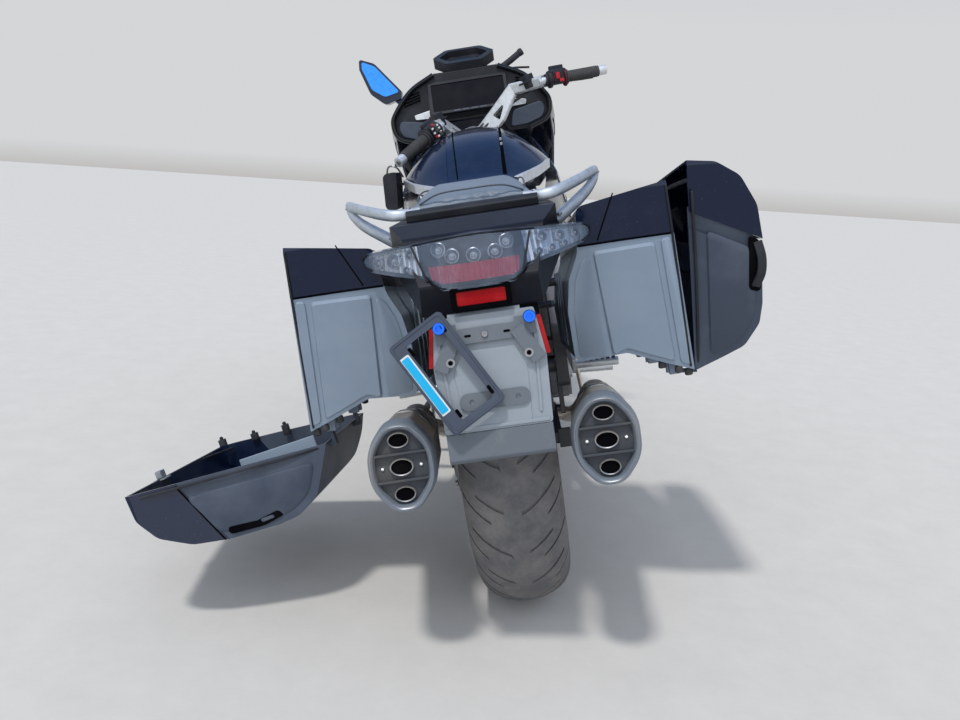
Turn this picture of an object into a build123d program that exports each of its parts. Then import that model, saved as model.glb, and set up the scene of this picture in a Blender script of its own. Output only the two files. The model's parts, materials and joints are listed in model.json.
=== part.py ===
from build123d import *
import math
import os

# Driving dimensions, in millimetres and degrees.
# The machine is drawn upright: x to its right, y forward from the rear axle, z up from the ground.
WHEELBASE = 1618
RAKE = 27.8
TRAIL = 106
LEAN = 12.0
STEER = 33.0
STEER_SWEEP = 66.0

REAR_R = 320
REAR_W = 190
REAR_CROWN_R = 130
REAR_CROWN_HALF = 60
FRONT_R = 300
FRONT_W = 120
FRONT_CROWN_R = 75
FRONT_CROWN_HALF = 40
RIM_R = 216
RIM_DEPTH = 9
BEAD_GAP = 0.3
SHAFT_GAP = 0.05
SEAT_GAP = 0.3

DISC_R = 160
DISC_T = 5
AXLE_R = 22
STEM_R = 20

PIPE_R = 22
BAR_R = 11
PLATE_BOLT_X = 73
PLATE_BOLT_R = 9

# The outlines are drawn for one wheelbase. For another, the stretch between these two stations
# takes up the difference, and all that lies ahead of it moves with the front wheel.
DRAWN_WHEELBASE = 1618
STRETCH_FROM = 600
STRETCH_TO = 900

# Small helpers: outlines in the three main planes, rods and bent tubes.


def station(y):
    """Where a drawn station lies on a machine of this wheelbase."""
    share = min(max((y - STRETCH_FROM) / (STRETCH_TO - STRETCH_FROM), 0), 1)
    return y + share * (WHEELBASE - DRAWN_WHEELBASE)


def placed_point(point):
    x, y, z = tuple(point)
    return Vector(x, station(y), z)


def corners(points, radii):
    """A closed outline with rounded corners; a radius too large for its edges is made smaller."""
    wanted = list(radii) if isinstance(radii, (list, tuple)) else [radii] * len(points)
    count = len(points)
    halves = []
    for index in range(count):
        here = Vector(*points[index])
        before = (Vector(*points[index - 1]) - here).normalized()
        after = (Vector(*points[(index + 1) % count]) - here).normalized()
        angle = math.acos(max(-1.0, min(1.0, before.dot(after))))
        halves.append(math.tan(angle / 2))
    reach = [wanted[index] / halves[index] for index in range(count)]
    share = [1.0] * count
    for index in range(count):
        after = (index + 1) % count
        length = (Vector(*points[after]) - Vector(*points[index])).length
        total = reach[index] + reach[after]
        if total > 0.96 * length:
            limit = 0.96 * length / total
            share[index] = min(share[index], limit)
            share[after] = min(share[after], limit)
    radius = [wanted[index] * share[index] for index in range(count)]
    return FilletPolyline(*points, radius=radius, close=True)


def side_shape(points, radii, x0, x1):
    """An outline in (y, z), seen from the side, extruded from x0 to x1."""
    points = [(station(y), z) for y, z in points]
    face = make_face(Plane.YZ.offset(x0) * corners(points, radii))
    return extrude(face, amount=x1 - x0, dir=(1, 0, 0))


def rear_shape(points, radii, y0, y1):
    """An outline in (x, z), seen from behind, extruded from y0 to y1."""
    y0 = station(y0)
    y1 = station(y1)
    face = make_face(Plane.XZ.offset(-y0) * corners(points, radii))
    return extrude(face, amount=y1 - y0, dir=(0, 1, 0))


def plan_shape(points, radii, z0, z1):
    """An outline in (x, y), seen from above, extruded from z0 to z1."""
    points = [(x, station(y)) for x, y in points]
    face = make_face(Plane.XY.offset(z0) * corners(points, radii))
    return extrude(face, amount=z1 - z0, dir=(0, 0, 1))


def rod(start, end, radius):
    return straight_rod(placed_point(start), placed_point(end), radius)


def straight_rod(start, end, radius):
    """A rod between two points that are already in place."""
    start = Vector(*start)
    end = Vector(*end)
    base = Plane(origin=start, z_dir=end - start)
    return base * Cylinder(radius, (end - start).length, align=(Align.CENTER, Align.CENTER, Align.MIN))


def tube(points, radius, bend):
    points = [placed_point(point) for point in points]
    path = FilletPolyline(*points, radius=bend) if len(points) > 2 else Line(*points)
    section = Plane(origin=path @ 0, z_dir=path % 0) * Circle(radius)
    return sweep(section, path=path)


def box(x0, x1, y0, y1, z0, z1):
    y0 = station(y0)
    y1 = station(y1)
    return Pos((x0 + x1) / 2, (y0 + y1) / 2, (z0 + z1) / 2) * Box(x1 - x0, y1 - y0, z1 - z0)


def mirrored(shape):
    return mirror(shape, about=Plane.YZ)


def group(shapes):
    """Separate solids that are handed in as one node."""
    return Compound([solid for shape in shapes for solid in shape.solids()])


def pair(shape):
    """The right-hand piece and its mirror image, as one node."""
    return group([shape, mirrored(shape)])


def ring(outer, inner, x0, x1):
    """A ring about the x axis."""
    disc = Circle(outer) - Circle(inner) if inner else Circle(outer)
    return extrude(Plane.YZ.offset(x0) * disc, amount=x1 - x0, dir=(1, 0, 0))


# Wheels. Each is drawn about the x axis and then moved to its axle.


def tyre(radius, width, crown_r, crown_half):
    """Crown arc, shoulder arcs that meet it without a break, and flat beads."""
    half = width / 2
    centre = radius - crown_r
    sine = crown_half / crown_r
    cosine = math.sqrt(1 - sine * sine)
    shoulder_r = (half - crown_half) / (1 - sine)
    edge = (crown_half, centre + crown_r * cosine)
    middle = (edge[0] - shoulder_r * sine, edge[1] - shoulder_r * cosine)
    angle = (math.acos(sine) + 0) / 2
    between = (middle[0] + shoulder_r * math.cos(angle), middle[1] + shoulder_r * math.sin(angle))
    widest = (half, middle[1])
    bead = (half - 14, RIM_R + BEAD_GAP)
    collar = (half - 14, RIM_R + RIM_DEPTH + 4)
    outline = Polyline((-bead[0], bead[1]), (bead[0], bead[1]), collar, widest)
    outline += ThreePointArc(widest, between, edge)
    outline += ThreePointArc(edge, (0, radius), (-edge[0], edge[1]))
    outline += ThreePointArc((-edge[0], edge[1]), (-between[0], between[1]), (-half, widest[1]))
    outline += Polyline((-half, widest[1]), (-collar[0], collar[1]), (-bead[0], bead[1]))
    face = make_face(outline)
    return revolve(face, axis=Axis.X)


def wheel(width, hub_r, hub_left, hub_right, bore_r, spoke_x, spoke_w):
    """Cast wheel: rim with two flanges, five pairs of spokes, hub with its bore."""
    bead = width / 2 - 14
    flange = bead + 8
    rim = ring(RIM_R, RIM_R - RIM_DEPTH, -flange, flange)
    for side in (-1, 1):
        low = min(side * (bead + 0.6), side * flange)
        high = max(side * (bead + 0.6), side * flange)
        rim += ring(RIM_R + RIM_DEPTH, RIM_R - 2, low, high)
    body = rim + ring(hub_r, 0, hub_left, hub_right)
    spread = 11
    for index in range(5):
        for side in (-1, 1):
            turn = 72 * index + side * spread
            arm = Rot(X=turn) * box(-spoke_w, spoke_w, -8, 8, hub_r - 12, RIM_R - RIM_DEPTH + 2)
            body += Pos(spoke_x, 0, 0) * arm
    return body - ring(bore_r, 0, hub_left - 1, hub_right + 1)


REAR_HUB_LEFT = -66
REAR_HUB_RIGHT = 34
FRONT_HUB = 62
REAR_AXLE = (0, 0, REAR_R)
FRONT_AXLE = (0, WHEELBASE, FRONT_R)
REAR_STUB_R = 25

# Steering axis: it meets the ground TRAIL ahead of the front axle and leans back by RAKE.
STEER_FOOT_Y = WHEELBASE + TRAIL
STEER_DIR = Vector(0, -math.sin(math.radians(RAKE)), math.cos(math.radians(RAKE)))
STEER_AXIS = Axis((0, STEER_FOOT_Y, 0), STEER_DIR)


def on_stem(z, x=0, ahead=0):
    """A drawn point at height z on the steering axis, moved aside by x and ahead by a step."""
    y = DRAWN_WHEELBASE + TRAIL - z * math.tan(math.radians(RAKE))
    return (x, y + ahead, z)


def rear_wheel_parts():
    move = Pos(*REAR_AXLE)
    disc = ring(DISC_R, 70, REAR_HUB_LEFT - DISC_T - SEAT_GAP, REAR_HUB_LEFT - SEAT_GAP)
    return {
        "tyre_rear": move * tyre(REAR_R, REAR_W, REAR_CROWN_R, REAR_CROWN_HALF),
        "wheel_rear": move * wheel(REAR_W, 85, REAR_HUB_LEFT, REAR_HUB_RIGHT, REAR_STUB_R + SHAFT_GAP, 10, 12),
        "disc_rear": move * disc,
    }


def front_wheel_parts():
    move = Pos(*FRONT_AXLE)
    discs = []
    for side in (-1, 1):
        inner = FRONT_HUB + SEAT_GAP
        low = min(side * inner, side * (inner + DISC_T))
        discs.append(move * ring(DISC_R, 60, low, low + DISC_T))
    return {
        "tyre_front": move * tyre(FRONT_R, FRONT_W, FRONT_CROWN_R, FRONT_CROWN_HALF),
        "wheel_front": move * wheel(FRONT_W, 70, -FRONT_HUB, FRONT_HUB, AXLE_R + SHAFT_GAP, 0, 10),
        "discs_front": group(discs),
    }


# Fork, front mudguard, calipers and handlebar. All of them turn with the steering.
FORK_X = 92
FORK_HALF = 14
FORK_BRIDGE_Z = 690
FORK_BRIDGE_T = 46


def fork():
    """Two cast legs from the axle up to a bridge over the tyre, and the steering stem above it."""
    legs = []
    top = on_stem(FORK_BRIDGE_Z)
    outline = [
        (DRAWN_WHEELBASE - 34, FRONT_R - 30),
        (DRAWN_WHEELBASE + 34, FRONT_R - 30),
        (DRAWN_WHEELBASE + 40, FRONT_R + 60),
        (top[1] + 70, FORK_BRIDGE_Z - 60),
        (top[1] + 50, FORK_BRIDGE_Z + FORK_BRIDGE_T),
        (top[1] - 50, FORK_BRIDGE_Z + FORK_BRIDGE_T),
        (top[1] - 40, FORK_BRIDGE_Z - 90),
    ]
    low = FORK_X - FORK_HALF
    high = FORK_X + FORK_HALF
    leg = side_shape(outline, [20, 20, 40, 60, 20, 20, 60], low, high)
    body = leg + mirrored(leg)
    body += box(-high, high, top[1] - 50, top[1] + 50, FORK_BRIDGE_Z, FORK_BRIDGE_Z + FORK_BRIDGE_T)
    body += rod((-high, DRAWN_WHEELBASE, FRONT_R), (high, DRAWN_WHEELBASE, FRONT_R), AXLE_R)
    body += rod(on_stem(FORK_BRIDGE_Z + 10), on_stem(STEM_TOP_Z - 12), STEM_R)
    return body


STEM_TOP_Z = 1012
HEAD_LOW_Z = 780
HEAD_HIGH_Z = 960
BAR_T = 26


# A cast arm runs through these sections: centre, direction of its width, width and thickness.
ARM_SECTIONS = [
    (Vector(28, 1176, 1022), Vector(-0.3, 0.7, 0.65), 60, 20),
    (Vector(86, 1128, 1062), Vector(-0.4, 0.62, 0.67), 62, 20),
    (Vector(150, 1084, 1119), Vector(-0.3, 0.5, 0.8), 42, 24),
    (Vector(206, 984, 1104), Vector(0, -0.1, 1), 34, 28),
]


def arm_section(index, grow):
    """A rounded rectangle across the cast arm, square to the line through its neighbours."""
    centre, wide, width, thick = ARM_SECTIONS[index]
    before = ARM_SECTIONS[max(index - 1, 0)][0]
    after = ARM_SECTIONS[min(index + 1, len(ARM_SECTIONS) - 1)][0]
    along = (after - before).normalized()
    across = (wide - along * wide.dot(along)).normalized()
    plane = Plane(origin=placed_point(centre), x_dir=across, z_dir=along)
    return plane * RectangleRounded(width + 2 * grow, thick + 2 * grow, 7)


def cast_arm(grow=0):
    """The right arm, from the hub up to its elbow and out to the grip tube."""
    sections = [arm_section(index, grow) for index in range(len(ARM_SECTIONS))]
    arm = loft(sections, ruled=True)
    low, high = placed_point(ARM_SECTIONS[1][0]), placed_point(ARM_SECTIONS[2][0])
    along = (high - low).normalized()
    wide = ARM_SECTIONS[1][1]
    across = (wide - along * wide.dot(along)).normalized()
    window = Plane(origin=low + (high - low) * 0.18, x_dir=along, z_dir=along.cross(across))
    arm -= extrude(window * make_face(corners([(-26, -17), (30, 0), (-26, 13)], 4)), amount=40, both=True)
    return arm


def handlebar():
    """Cast bar: a hub on the stem, two swept arms with a window each, and the two grip tubes."""
    bar_end = on_bar(0.93)
    body = rod(on_stem(STEM_TOP_Z - 12 + SEAT_GAP), on_stem(STEM_TOP_Z + BAR_T + 6), 44)
    body += pair(cast_arm())
    for side in (-1, 1):
        start = on_bar(-0.08)
        body += rod((side * start.X, start.Y, start.Z), (side * bar_end.X, bar_end.Y, bar_end.Z), BAR_R)
    return body


GRIP_OUT_X = 392
GRIP_OUT_Y = 926
GRIP_OUT_Z = 1060



GRIP_R = 17
BAR_ROOT = Vector(206, 984, 1104)
BAR_TIP = Vector(GRIP_OUT_X, GRIP_OUT_Y, GRIP_OUT_Z)


def on_bar(share):
    """A point on the right grip tube: 0 at its root, 1 at its tip."""
    return BAR_ROOT + (BAR_TIP - BAR_ROOT) * share


def sleeve(start, end, radius):
    """A sleeve on the right grip tube."""
    return rod(on_bar(start), on_bar(end), radius) - rod(on_bar(start - 0.05), on_bar(end + 0.05), BAR_R + SEAT_GAP)





def bar_controls():
    grip = sleeve(0.40, 0.93, GRIP_R) + sleeve(0.37, 0.40, GRIP_R + 6)
    weight = rod(on_bar(0.935), on_bar(1.06), 15)
    bar_frame = Plane(origin=placed_point(on_bar(0.22)), x_dir=(0, 0, 1), z_dir=BAR_TIP - BAR_ROOT)
    block = fillet((bar_frame * Pos(5, 0, 0) * Box(48, 44, 52)).edges().filter_by(GeomType.LINE), 7)
    block -= rod(on_bar(-0.1), on_bar(0.4), BAR_R + SEAT_GAP)
    perch_start = on_bar(0.05) + Vector(-2, 28, 4)
    lever = tube(
        [perch_start, on_bar(0.15) + Vector(0, 66, 2), on_bar(0.8) + Vector(0, 60, -6), on_bar(0.98) + Vector(0, 50, -8)],
        6,
        12,
    )
    perch = sleeve(0.03, 0.07, 19)
    perch += rod(on_bar(0.05) + Vector(0, 12, 0), perch_start, 8)
    lever += perch - rod(on_bar(-0.1), on_bar(0.4), BAR_R + SEAT_GAP)
    lever -= cast_arm(SEAT_GAP)
    return grip, weight, block, lever


def steering_parts():
    grip, weight, block, lever = bar_controls()
    bars = handlebar()
    return {
        "fork": fork(),
        "handlebar": bars,
        "bar_ends": group([weight, mirrored(weight)]),
        "grips": group([grip, mirrored(grip)]),
        "bar_controls": group([block, mirrored(block), lever, mirrored(lever)]),
        "front_fender": front_fender(),
        "calipers_front": calipers_front(),
    }


FENDER_GAP = 14
FENDER_T = 4


def front_fender():
    """A curved mudguard over the front tyre, tied to the two fork legs."""
    inner = FRONT_R + FENDER_GAP
    half = FORK_X - FORK_HALF - SEAT_GAP
    wrap = ring(inner + FENDER_T, inner, -half, half)
    for side in (-1, 1):
        low = min(side * (half - FENDER_T), side * half)
        wrap += ring(inner + 1, inner - 46, low, low + FENDER_T)
    wedge = side_shape([(0, 0), (420, 20), (420, 420), (-420, 420), (-420, 170)], 0, -half - 1, half + 1)
    return Pos(*FRONT_AXLE) * (wrap & (Rot(X=0) * wedge))


def calipers_front():
    """Two brake calipers that straddle the discs behind the fork legs."""
    disc_x = FRONT_HUB + SEAT_GAP + DISC_T / 2
    outline = [(-158, 16), (-92, -6), (-84, 70), (-150, 96)]
    body = side_shape(outline, 12, disc_x - 24, disc_x + 12.5)
    body -= ring(DISC_R + 3, 0, disc_x - DISC_T / 2 - 2, disc_x + DISC_T / 2 + 2)
    lug = side_shape([(-100, 0), (-36, 0), (-36, 46), (-100, 46)], 6, FORK_X - FORK_HALF - 9, FORK_X - FORK_HALF - SEAT_GAP)
    body += lug
    body = Pos(*FRONT_AXLE) * body
    return group([body, mirrored(body)])


# Engine, frame, swinging arm, exhaust.
FRAME_X0 = 146
FRAME_X1 = 178
PIVOT = (0, 560, 362)
ARM_X0 = -140
ARM_X1 = -102
DRIVE_X0 = -108
DRIVE_X1 = -74


def frame():
    """Bridge frame: steering head, two side beams, swinging arm pivot and the seat rails."""
    outline = [
        (1230, 905), (1310, 880), (1322, 800), (1120, 700), (780, 662), (640, 540),
        (610, 300), (520, 300), (520, 470), (620, 690), (760, 790), (1090, 846),
    ]
    beam = side_shape(outline, [18, 18, 18, 60, 80, 60, 20, 20, 60, 80, 60, 40], FRAME_X0, FRAME_X1)
    body = beam + mirrored(beam)
    body += box(-FRAME_X0 - 4, FRAME_X0 + 4, 1228, 1306, 812, 884)
    body += rod(on_stem(HEAD_LOW_Z), on_stem(HEAD_HIGH_Z), 40)
    body -= rod(on_stem(HEAD_LOW_Z - 60), on_stem(HEAD_HIGH_Z + 60), STEM_R + SHAFT_GAP)
    body += rod((-FRAME_X0 - 2, PIVOT[1], PIVOT[2]), (FRAME_X0 + 2, PIVOT[1], PIVOT[2]), 24)
    body += side_shape([(1296, 860), (1318, 860), (1371, 959.7), (1331, 967.3)], 0, -24, 24)
    body += rails(0)
    for side in (-1, 1):
        x = side * RAIL_X
        low = min(x, side * (FRAME_X0 + 4))
        body += box(low - 1, low + abs(side * (FRAME_X0 + 4) - x) + 1, 660, 706, 700, 742)
        body += box(low - 1, low + abs(side * (FRAME_X0 + 4) - x) + 1, 530, 590, 412, 436)
    return body


def rails(grow):
    """Seat rails, their struts, the cross tubes and the stubs that carry the side cases."""
    body = rod((-RAIL_X, 330, 738), (RAIL_X, 330, 738), RAIL_R - 3 + grow)
    body += rod((-RAIL_X, -120, 758), (RAIL_X, -120, 758), RAIL_R - 3 + grow)
    for side in (-1, 1):
        x = side * RAIL_X
        body += tube([(x, 700, 728), (x, 380, 736), (x, -250 - grow, 766)], RAIL_R + grow, 200)
        body += tube([(x, 560, 420), (x, 500, 470), (x, -120, 752)], RAIL_R + grow, 60)
        for y, z, reach in RAIL_STUBS:
            body += rod((x, y, z), (side * (reach + grow), y, z), 9 + grow)
    return body


RAIL_X = 88
RAIL_R = 13
RAIL_STUBS = ((100, 652, 150), (260, 579, 142))


def engine():
    """One plain block: sump, crankcase, leaning cylinder bank and gearbox."""
    crank = [(668, 300), (700, 226), (1010, 218), (1070, 260), (1120, 420), (1000, 560), (680, 560)]
    body = side_shape(crank, [20, 24, 30, 30, 30, 30, 20], -190, 190)
    bank = [(860, 470), (1090, 300), (1222, 470), (1202, 560), (1060, 640), (820, 640), (790, 560)]
    body += side_shape(bank, [30, 30, 24, 24, 24, 30, 30], -272, 272)
    body += side_shape([(612, 290), (700, 260), (700, 520), (612, 480)], 20, -118, 118)
    for side in (-1, 1):
        lug = side * 162
        body += box(lug - 12, lug + 12, 840, 880, 630, 668)
    return body


def swingarm():
    """Single-sided arm on the left with the drive shaft inside, and the final drive at the axle."""
    outline = [(88, 250), (250, 288), (470, 322), (600, 330), (606, 394), (470, 410), (240, 400), (88, 392)]
    body = side_shape(outline, [20, 60, 60, 20, 20, 60, 60, 20], ARM_X0, ARM_X1)
    body = body - rod((-400, PIVOT[1], PIVOT[2]), (400, PIVOT[1], PIVOT[2]), 24 + SHAFT_GAP)
    body += box(ARM_X0, -60, 588, 602, 340, 384)
    drive = Pos(*REAR_AXLE) * ring(96, 0, DRIVE_X0, DRIVE_X1)
    drive += Pos(*REAR_AXLE) * ring(48, 0, DRIVE_X0 - 14, DRIVE_X0 + 1)
    body += drive
    body += side_shape([(40, 262), (130, 262), (130, 384), (40, 384)], 10, ARM_X0 + 10, DRIVE_X1 - 28)
    body += Pos(*REAR_AXLE) * ring(REAR_STUB_R, 0, DRIVE_X1 - 4, REAR_HUB_RIGHT + 6)
    return body


def caliper_rear():
    """Rear brake caliper on a bracket of the final drive, over the disc's front edge."""
    disc_mid = REAR_HUB_LEFT - SEAT_GAP - DISC_T / 2
    outline = [(104, 30), (168, 10), (182, 78), (120, 100)]
    body = side_shape(outline, 12, disc_mid - 24, disc_mid + 20)
    body -= ring(DISC_R + 3, 0, disc_mid - DISC_T / 2 - 2, disc_mid + DISC_T / 2 + 2)
    lug = box(ARM_X1 + SEAT_GAP, disc_mid - 16, 128, 160, REAR_R + 34, REAR_R + 64)
    return Pos(*REAR_AXLE) * body + lug


MUFFLER_REAR = Vector(173, -412, 447)
MUFFLER_FRONT = Vector(215, 210, 330)
MUFFLER_W = 112
MUFFLER_H = 152
CAP_LENGTH = 58


def muffler_section(at, width, height):
    """A tall rounded hexagon across the muffler's own axis."""
    w = width / 2
    h = height / 2
    plane = Plane(origin=at, x_dir=(1, 0, 0), z_dir=MUFFLER_REAR - MUFFLER_FRONT)
    points = [(-w * 0.36, h), (w * 0.36, h), (w, h * 0.42), (w, -h * 0.42), (w * 0.36, -h), (-w * 0.36, -h), (-w, -h * 0.42), (-w, h * 0.42)]
    return plane * make_face(corners(points, min(w, h) * 0.28))


def along_muffler(from_rear):
    return MUFFLER_REAR + (MUFFLER_FRONT - MUFFLER_REAR).normalized() * from_rear


def muffler():
    length = (MUFFLER_FRONT - MUFFLER_REAR).length
    sections = [
        muffler_section(along_muffler(CAP_LENGTH + SEAT_GAP), MUFFLER_W, MUFFLER_H),
        muffler_section(along_muffler(length * 0.55), MUFFLER_W, MUFFLER_H * 0.94),
        muffler_section(along_muffler(length), MUFFLER_W * 0.72, MUFFLER_H * 0.62),
    ]
    return loft(sections, ruled=True)


def muffler_cap():
    """Dark end cap with a recessed face, two ribs and three outlet pipes."""
    rear = muffler_section(along_muffler(0), MUFFLER_W * 0.98, MUFFLER_H * 0.98)
    front = muffler_section(along_muffler(CAP_LENGTH), MUFFLER_W + 8, MUFFLER_H + 8)
    body = loft([rear, front], ruled=True)
    pocket = loft(
        [
            muffler_section(along_muffler(-1), MUFFLER_W * 0.80, MUFFLER_H * 0.82),
            muffler_section(along_muffler(16), MUFFLER_W * 0.72, MUFFLER_H * 0.75),
        ],
        ruled=True,
    )
    body -= pocket
    face = Plane(origin=along_muffler(17), x_dir=(1, 0, 0), z_dir=MUFFLER_REAR - MUFFLER_FRONT)
    for step, half_width in ((46, 10), (0, 11), (-46, 10)):
        pipe = SlotCenterToCenter(half_width, 27) - SlotCenterToCenter(half_width, 23)
        opening = SlotCenterToCenter(half_width, 23)
        body += extrude(face * (Pos(0, step) * pipe), amount=8)
        body -= extrude(face * (Pos(0, step) * opening), amount=-34)
    for step in (-23, 23):
        rib = face * (Pos(0, step, 5) * Box(MUFFLER_W * 0.74, 3, 13))
        body += rib & muffler_core()
    return body


def muffler_core():
    return loft(
        [
            muffler_section(along_muffler(2), MUFFLER_W * 0.84, MUFFLER_H * 0.86),
            muffler_section(along_muffler(30), MUFFLER_W * 0.84, MUFFLER_H * 0.86),
        ],
        ruled=True,
    )


def exhaust_pipes():
    """Two collectors under the engine, one to each muffler."""
    ahead = (MUFFLER_FRONT - MUFFLER_REAR).normalized()
    pipe = tube(
        [(70, 1164, 386), (70, 1118, 188), (70, 800, 184), (172, 620, 190), ahead * 112 + MUFFLER_FRONT, ahead * SEAT_GAP + MUFFLER_FRONT],
        PIPE_R,
        [60, 80, 80, 60],
    )
    pipe -= engine()
    pipe += rod((193, 430, 400), (203, 430, 285), 6) + Pos(193, 430, 400) * Sphere(6.4)
    return group([pipe, mirrored(pipe)])


def peg_plate():
    """Right-hand rider and pillion pegs with the plates that carry them."""
    x = FRAME_X1 + SEAT_GAP
    plate = side_shape([(548, 316), (606, 316), (606, 440), (548, 440)], 12, x, x + 10)
    plate += rod((x + 4, 590, 332), (x + 128, 590, 326), 12)
    hanger = [(520, 384), (560, 400), (560, 466), (520, 466), (318, 426), (318, 384)]
    plate += side_shape(hanger, 10, x, x + 8)
    plate += rod((x + 4, 338, 404), (x + 116, 338, 400), 11)
    return plate


# Stands. The side stand's foot is drawn flat on the ground under the leaning machine.
SIDE_PIVOT = (-208, 780, 262)
SIDE_FOOT_STEP = (-128, 62)
SIDE_FOLD = 88
CENTRE_PIVOT = (0, 548, 236)
CENTRE_X = 120
CENTRE_DROP = 96


def side_stand(place):
    """Leg, head and foot plate in the parked frame, with the axis the leg turns about."""
    pivot = (place * Pos(*placed_point(SIDE_PIVOT))).position
    foot = Vector(pivot.X + SIDE_FOOT_STEP[0], pivot.Y + SIDE_FOOT_STEP[1], 0)
    down = foot - pivot
    axis = Vector(-1, 0, down.X / down.Z).normalized()
    head = straight_rod(pivot + axis * 0.6, pivot + axis * 21, 20)
    knee = pivot + axis * 14
    leg = straight_rod(knee, foot + Vector(0, 0, 10), 11)
    plate = Pos(foot.X, foot.Y, 4) * Cylinder(32, 8)
    body = head + leg + plate
    body -= straight_rod(pivot - axis * 40, pivot + axis * 60, 8 + SHAFT_GAP)
    return body, pivot, axis


def stand_boss(place):
    """Boss on the crankcase that the side stand turns on, with its pin, in the parked frame."""
    body, pivot, axis = side_stand(place)
    boss = straight_rod(pivot - axis * 42, pivot, 19)
    pin = straight_rod(pivot - axis * 4, pivot + axis * 22, 8)
    return boss + pin


def centre_stand():
    """Two legs, a cross tube and flat feet, folded up behind the engine."""
    _, y, z = CENTRE_PIVOT
    body = None
    for side in (-1, 1):
        x = side * CENTRE_X
        leg = side_shape(
            [(y + 18, z - 16), (y + 18, z + 16), (y - 20, z + 16), (y - 232, z + 2), (y - 256, z + 18), (y - 256, z - 20), (y - 40, z - 20)],
            [8, 8, 20, 20, 6, 6, 20], x - 11, x + 11,
        )
        body = leg if body is None else body + leg
        body += box(min(x, x + side * 30), max(x, x + side * 30), y - 262, y - 252, z - 28, z + 20)
    body += rod((-CENTRE_X, y - 120, z - 4), (CENTRE_X, y - 120, z - 4), 12)
    return body - rod((-200, y, z), (200, y, z), 9 + SHAFT_GAP)


def centre_stand_lugs():
    """Ears of the frame that hold the centre stand's pivot pin."""
    _, y, z = CENTRE_PIVOT
    body = None
    for side in (-1, 1):
        x0 = side * (FRAME_X0 - 2)
        x1 = side * (FRAME_X0 + 10)
        ear = side_shape([(y - 16, z - 14), (y + 16, z - 14), (y + 40, 320), (y - 20, 320)], 6, min(x0, x1), max(x0, x1))
        pin = rod((side * (CENTRE_X - 14), y, z), (x1, y, z), 9)
        ear += pin
        body = ear if body is None else body + ear
    return body


# Tank, seats and tail.
TANK_SPLIT_X = 76
TANK_GAP = 0.8


TANK_LOW_Z = 856

# Sections of the tank: station, half width, height of the side edge and height of the crown.
TANK_ROWS = [
    (560, 112, 882, 893),
    (640, 166, 898, 945),
    (740, 204, 916, 1003),
    (870, 214, 924, 1037),
    (1000, 200, 928, 1040),
    (1096, 156, 924, 994),
]


def tank_section(y, half, edge, crown, grow):
    """Flat bottom, upright sides, two curved flanks and a slightly raised middle."""
    w = half + grow
    middle = TANK_SPLIT_X
    shoulder = crown - 4 + grow
    low = TANK_LOW_Z - grow
    flank = ((w + middle) / 2, edge + (shoulder - edge) * 0.64)
    loop = Line((-w * 0.7, low), (w * 0.7, low)) + Line((w * 0.7, low), (w, edge - 12)) + Line((w, edge - 12), (w, edge))
    loop += ThreePointArc((w, edge), flank, (middle, shoulder))
    loop += ThreePointArc((middle, shoulder), (0, crown + 2 + grow), (-middle, shoulder))
    loop += ThreePointArc((-middle, shoulder), (-flank[0], flank[1]), (-w, edge))
    loop += Line((-w, edge), (-w, edge - 12)) + Line((-w, edge - 12), (-w * 0.7, low))
    return Plane.XZ.offset(-station(y)) * make_face(loop)


def tank(grow=0):
    return loft([tank_section(*row, grow) for row in TANK_ROWS])


def tank_parts():
    whole = tank()
    centre = whole & box(-TANK_SPLIT_X, TANK_SPLIT_X, 400, 1300, 800, 1100)
    centre += box(-TANK_SPLIT_X, TANK_SPLIT_X, 716, 1080, 792, 872)
    centre += box(-FRAME_X0 + SEAT_GAP, FRAME_X0 - SEAT_GAP, 900, 960, 792, 826)
    right = whole & box(TANK_SPLIT_X + TANK_GAP, 400, 400, 1300, 800, 1100)
    trim = loft([trim_section(*row) for row in TANK_ROWS[:3]], ruled=True) - tank(SEAT_GAP)
    return {
        "tank_centre": centre,
        "tank_sides": pair(right),
        "tank_trims": pair(trim),
    }


def trim_section(y, half, edge, crown):
    """A flat strip under and beside the tank's lower edge."""
    points = [(half - 14, edge - 26), (half + 7, edge - 20), (half + 9, edge + 4), (half - 10, edge + 4)]
    return Plane.XZ.offset(-station(y)) * make_face(Polyline(*points, close=True))


COWL_TOP_Z = 836
PILLION_Y0 = -128
PILLION_Y1 = 330


def seats():
    side = [(PILLION_Y0, COWL_TOP_Z + SEAT_GAP), (PILLION_Y0, 862), (40, 890), (260, 888), (PILLION_Y1, 872), (PILLION_Y1, COWL_TOP_Z + SEAT_GAP)]
    pillion = side_shape(side, [4, 24, 120, 120, 24, 4], -200, 200)
    pillion &= rear_shape([(-116, 830), (-122, 858), (-70, 893), (70, 893), (122, 858), (116, 830)], [2, 16, 60, 60, 16, 2], -300, 500)
    rider_side = [(336, 772), (336, 872), (372, 872), (450, 826), (560, 812), (650, 826), (716, 846), (708, 772)]
    rider = side_shape(rider_side, [4, 16, 24, 60, 120, 120, 8, 4], -200, 200)
    rider &= rear_shape([(-120, 765), (-152, 800), (-116, 874), (116, 874), (152, 800), (120, 765)], [4, 24, 30, 30, 24, 4], 200, 900)
    for y, z in ((420, 748.4), (640, 743)):
        for side in (-1, 1):
            rider += box(side * RAIL_X - 12, side * RAIL_X + 12, y - 18, y + 18, z, 776)
    return {"pillion_seat": pillion, "rider_seat": rider}


LENS_DEPTH = 36
LENS_LEAN = 22


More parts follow.
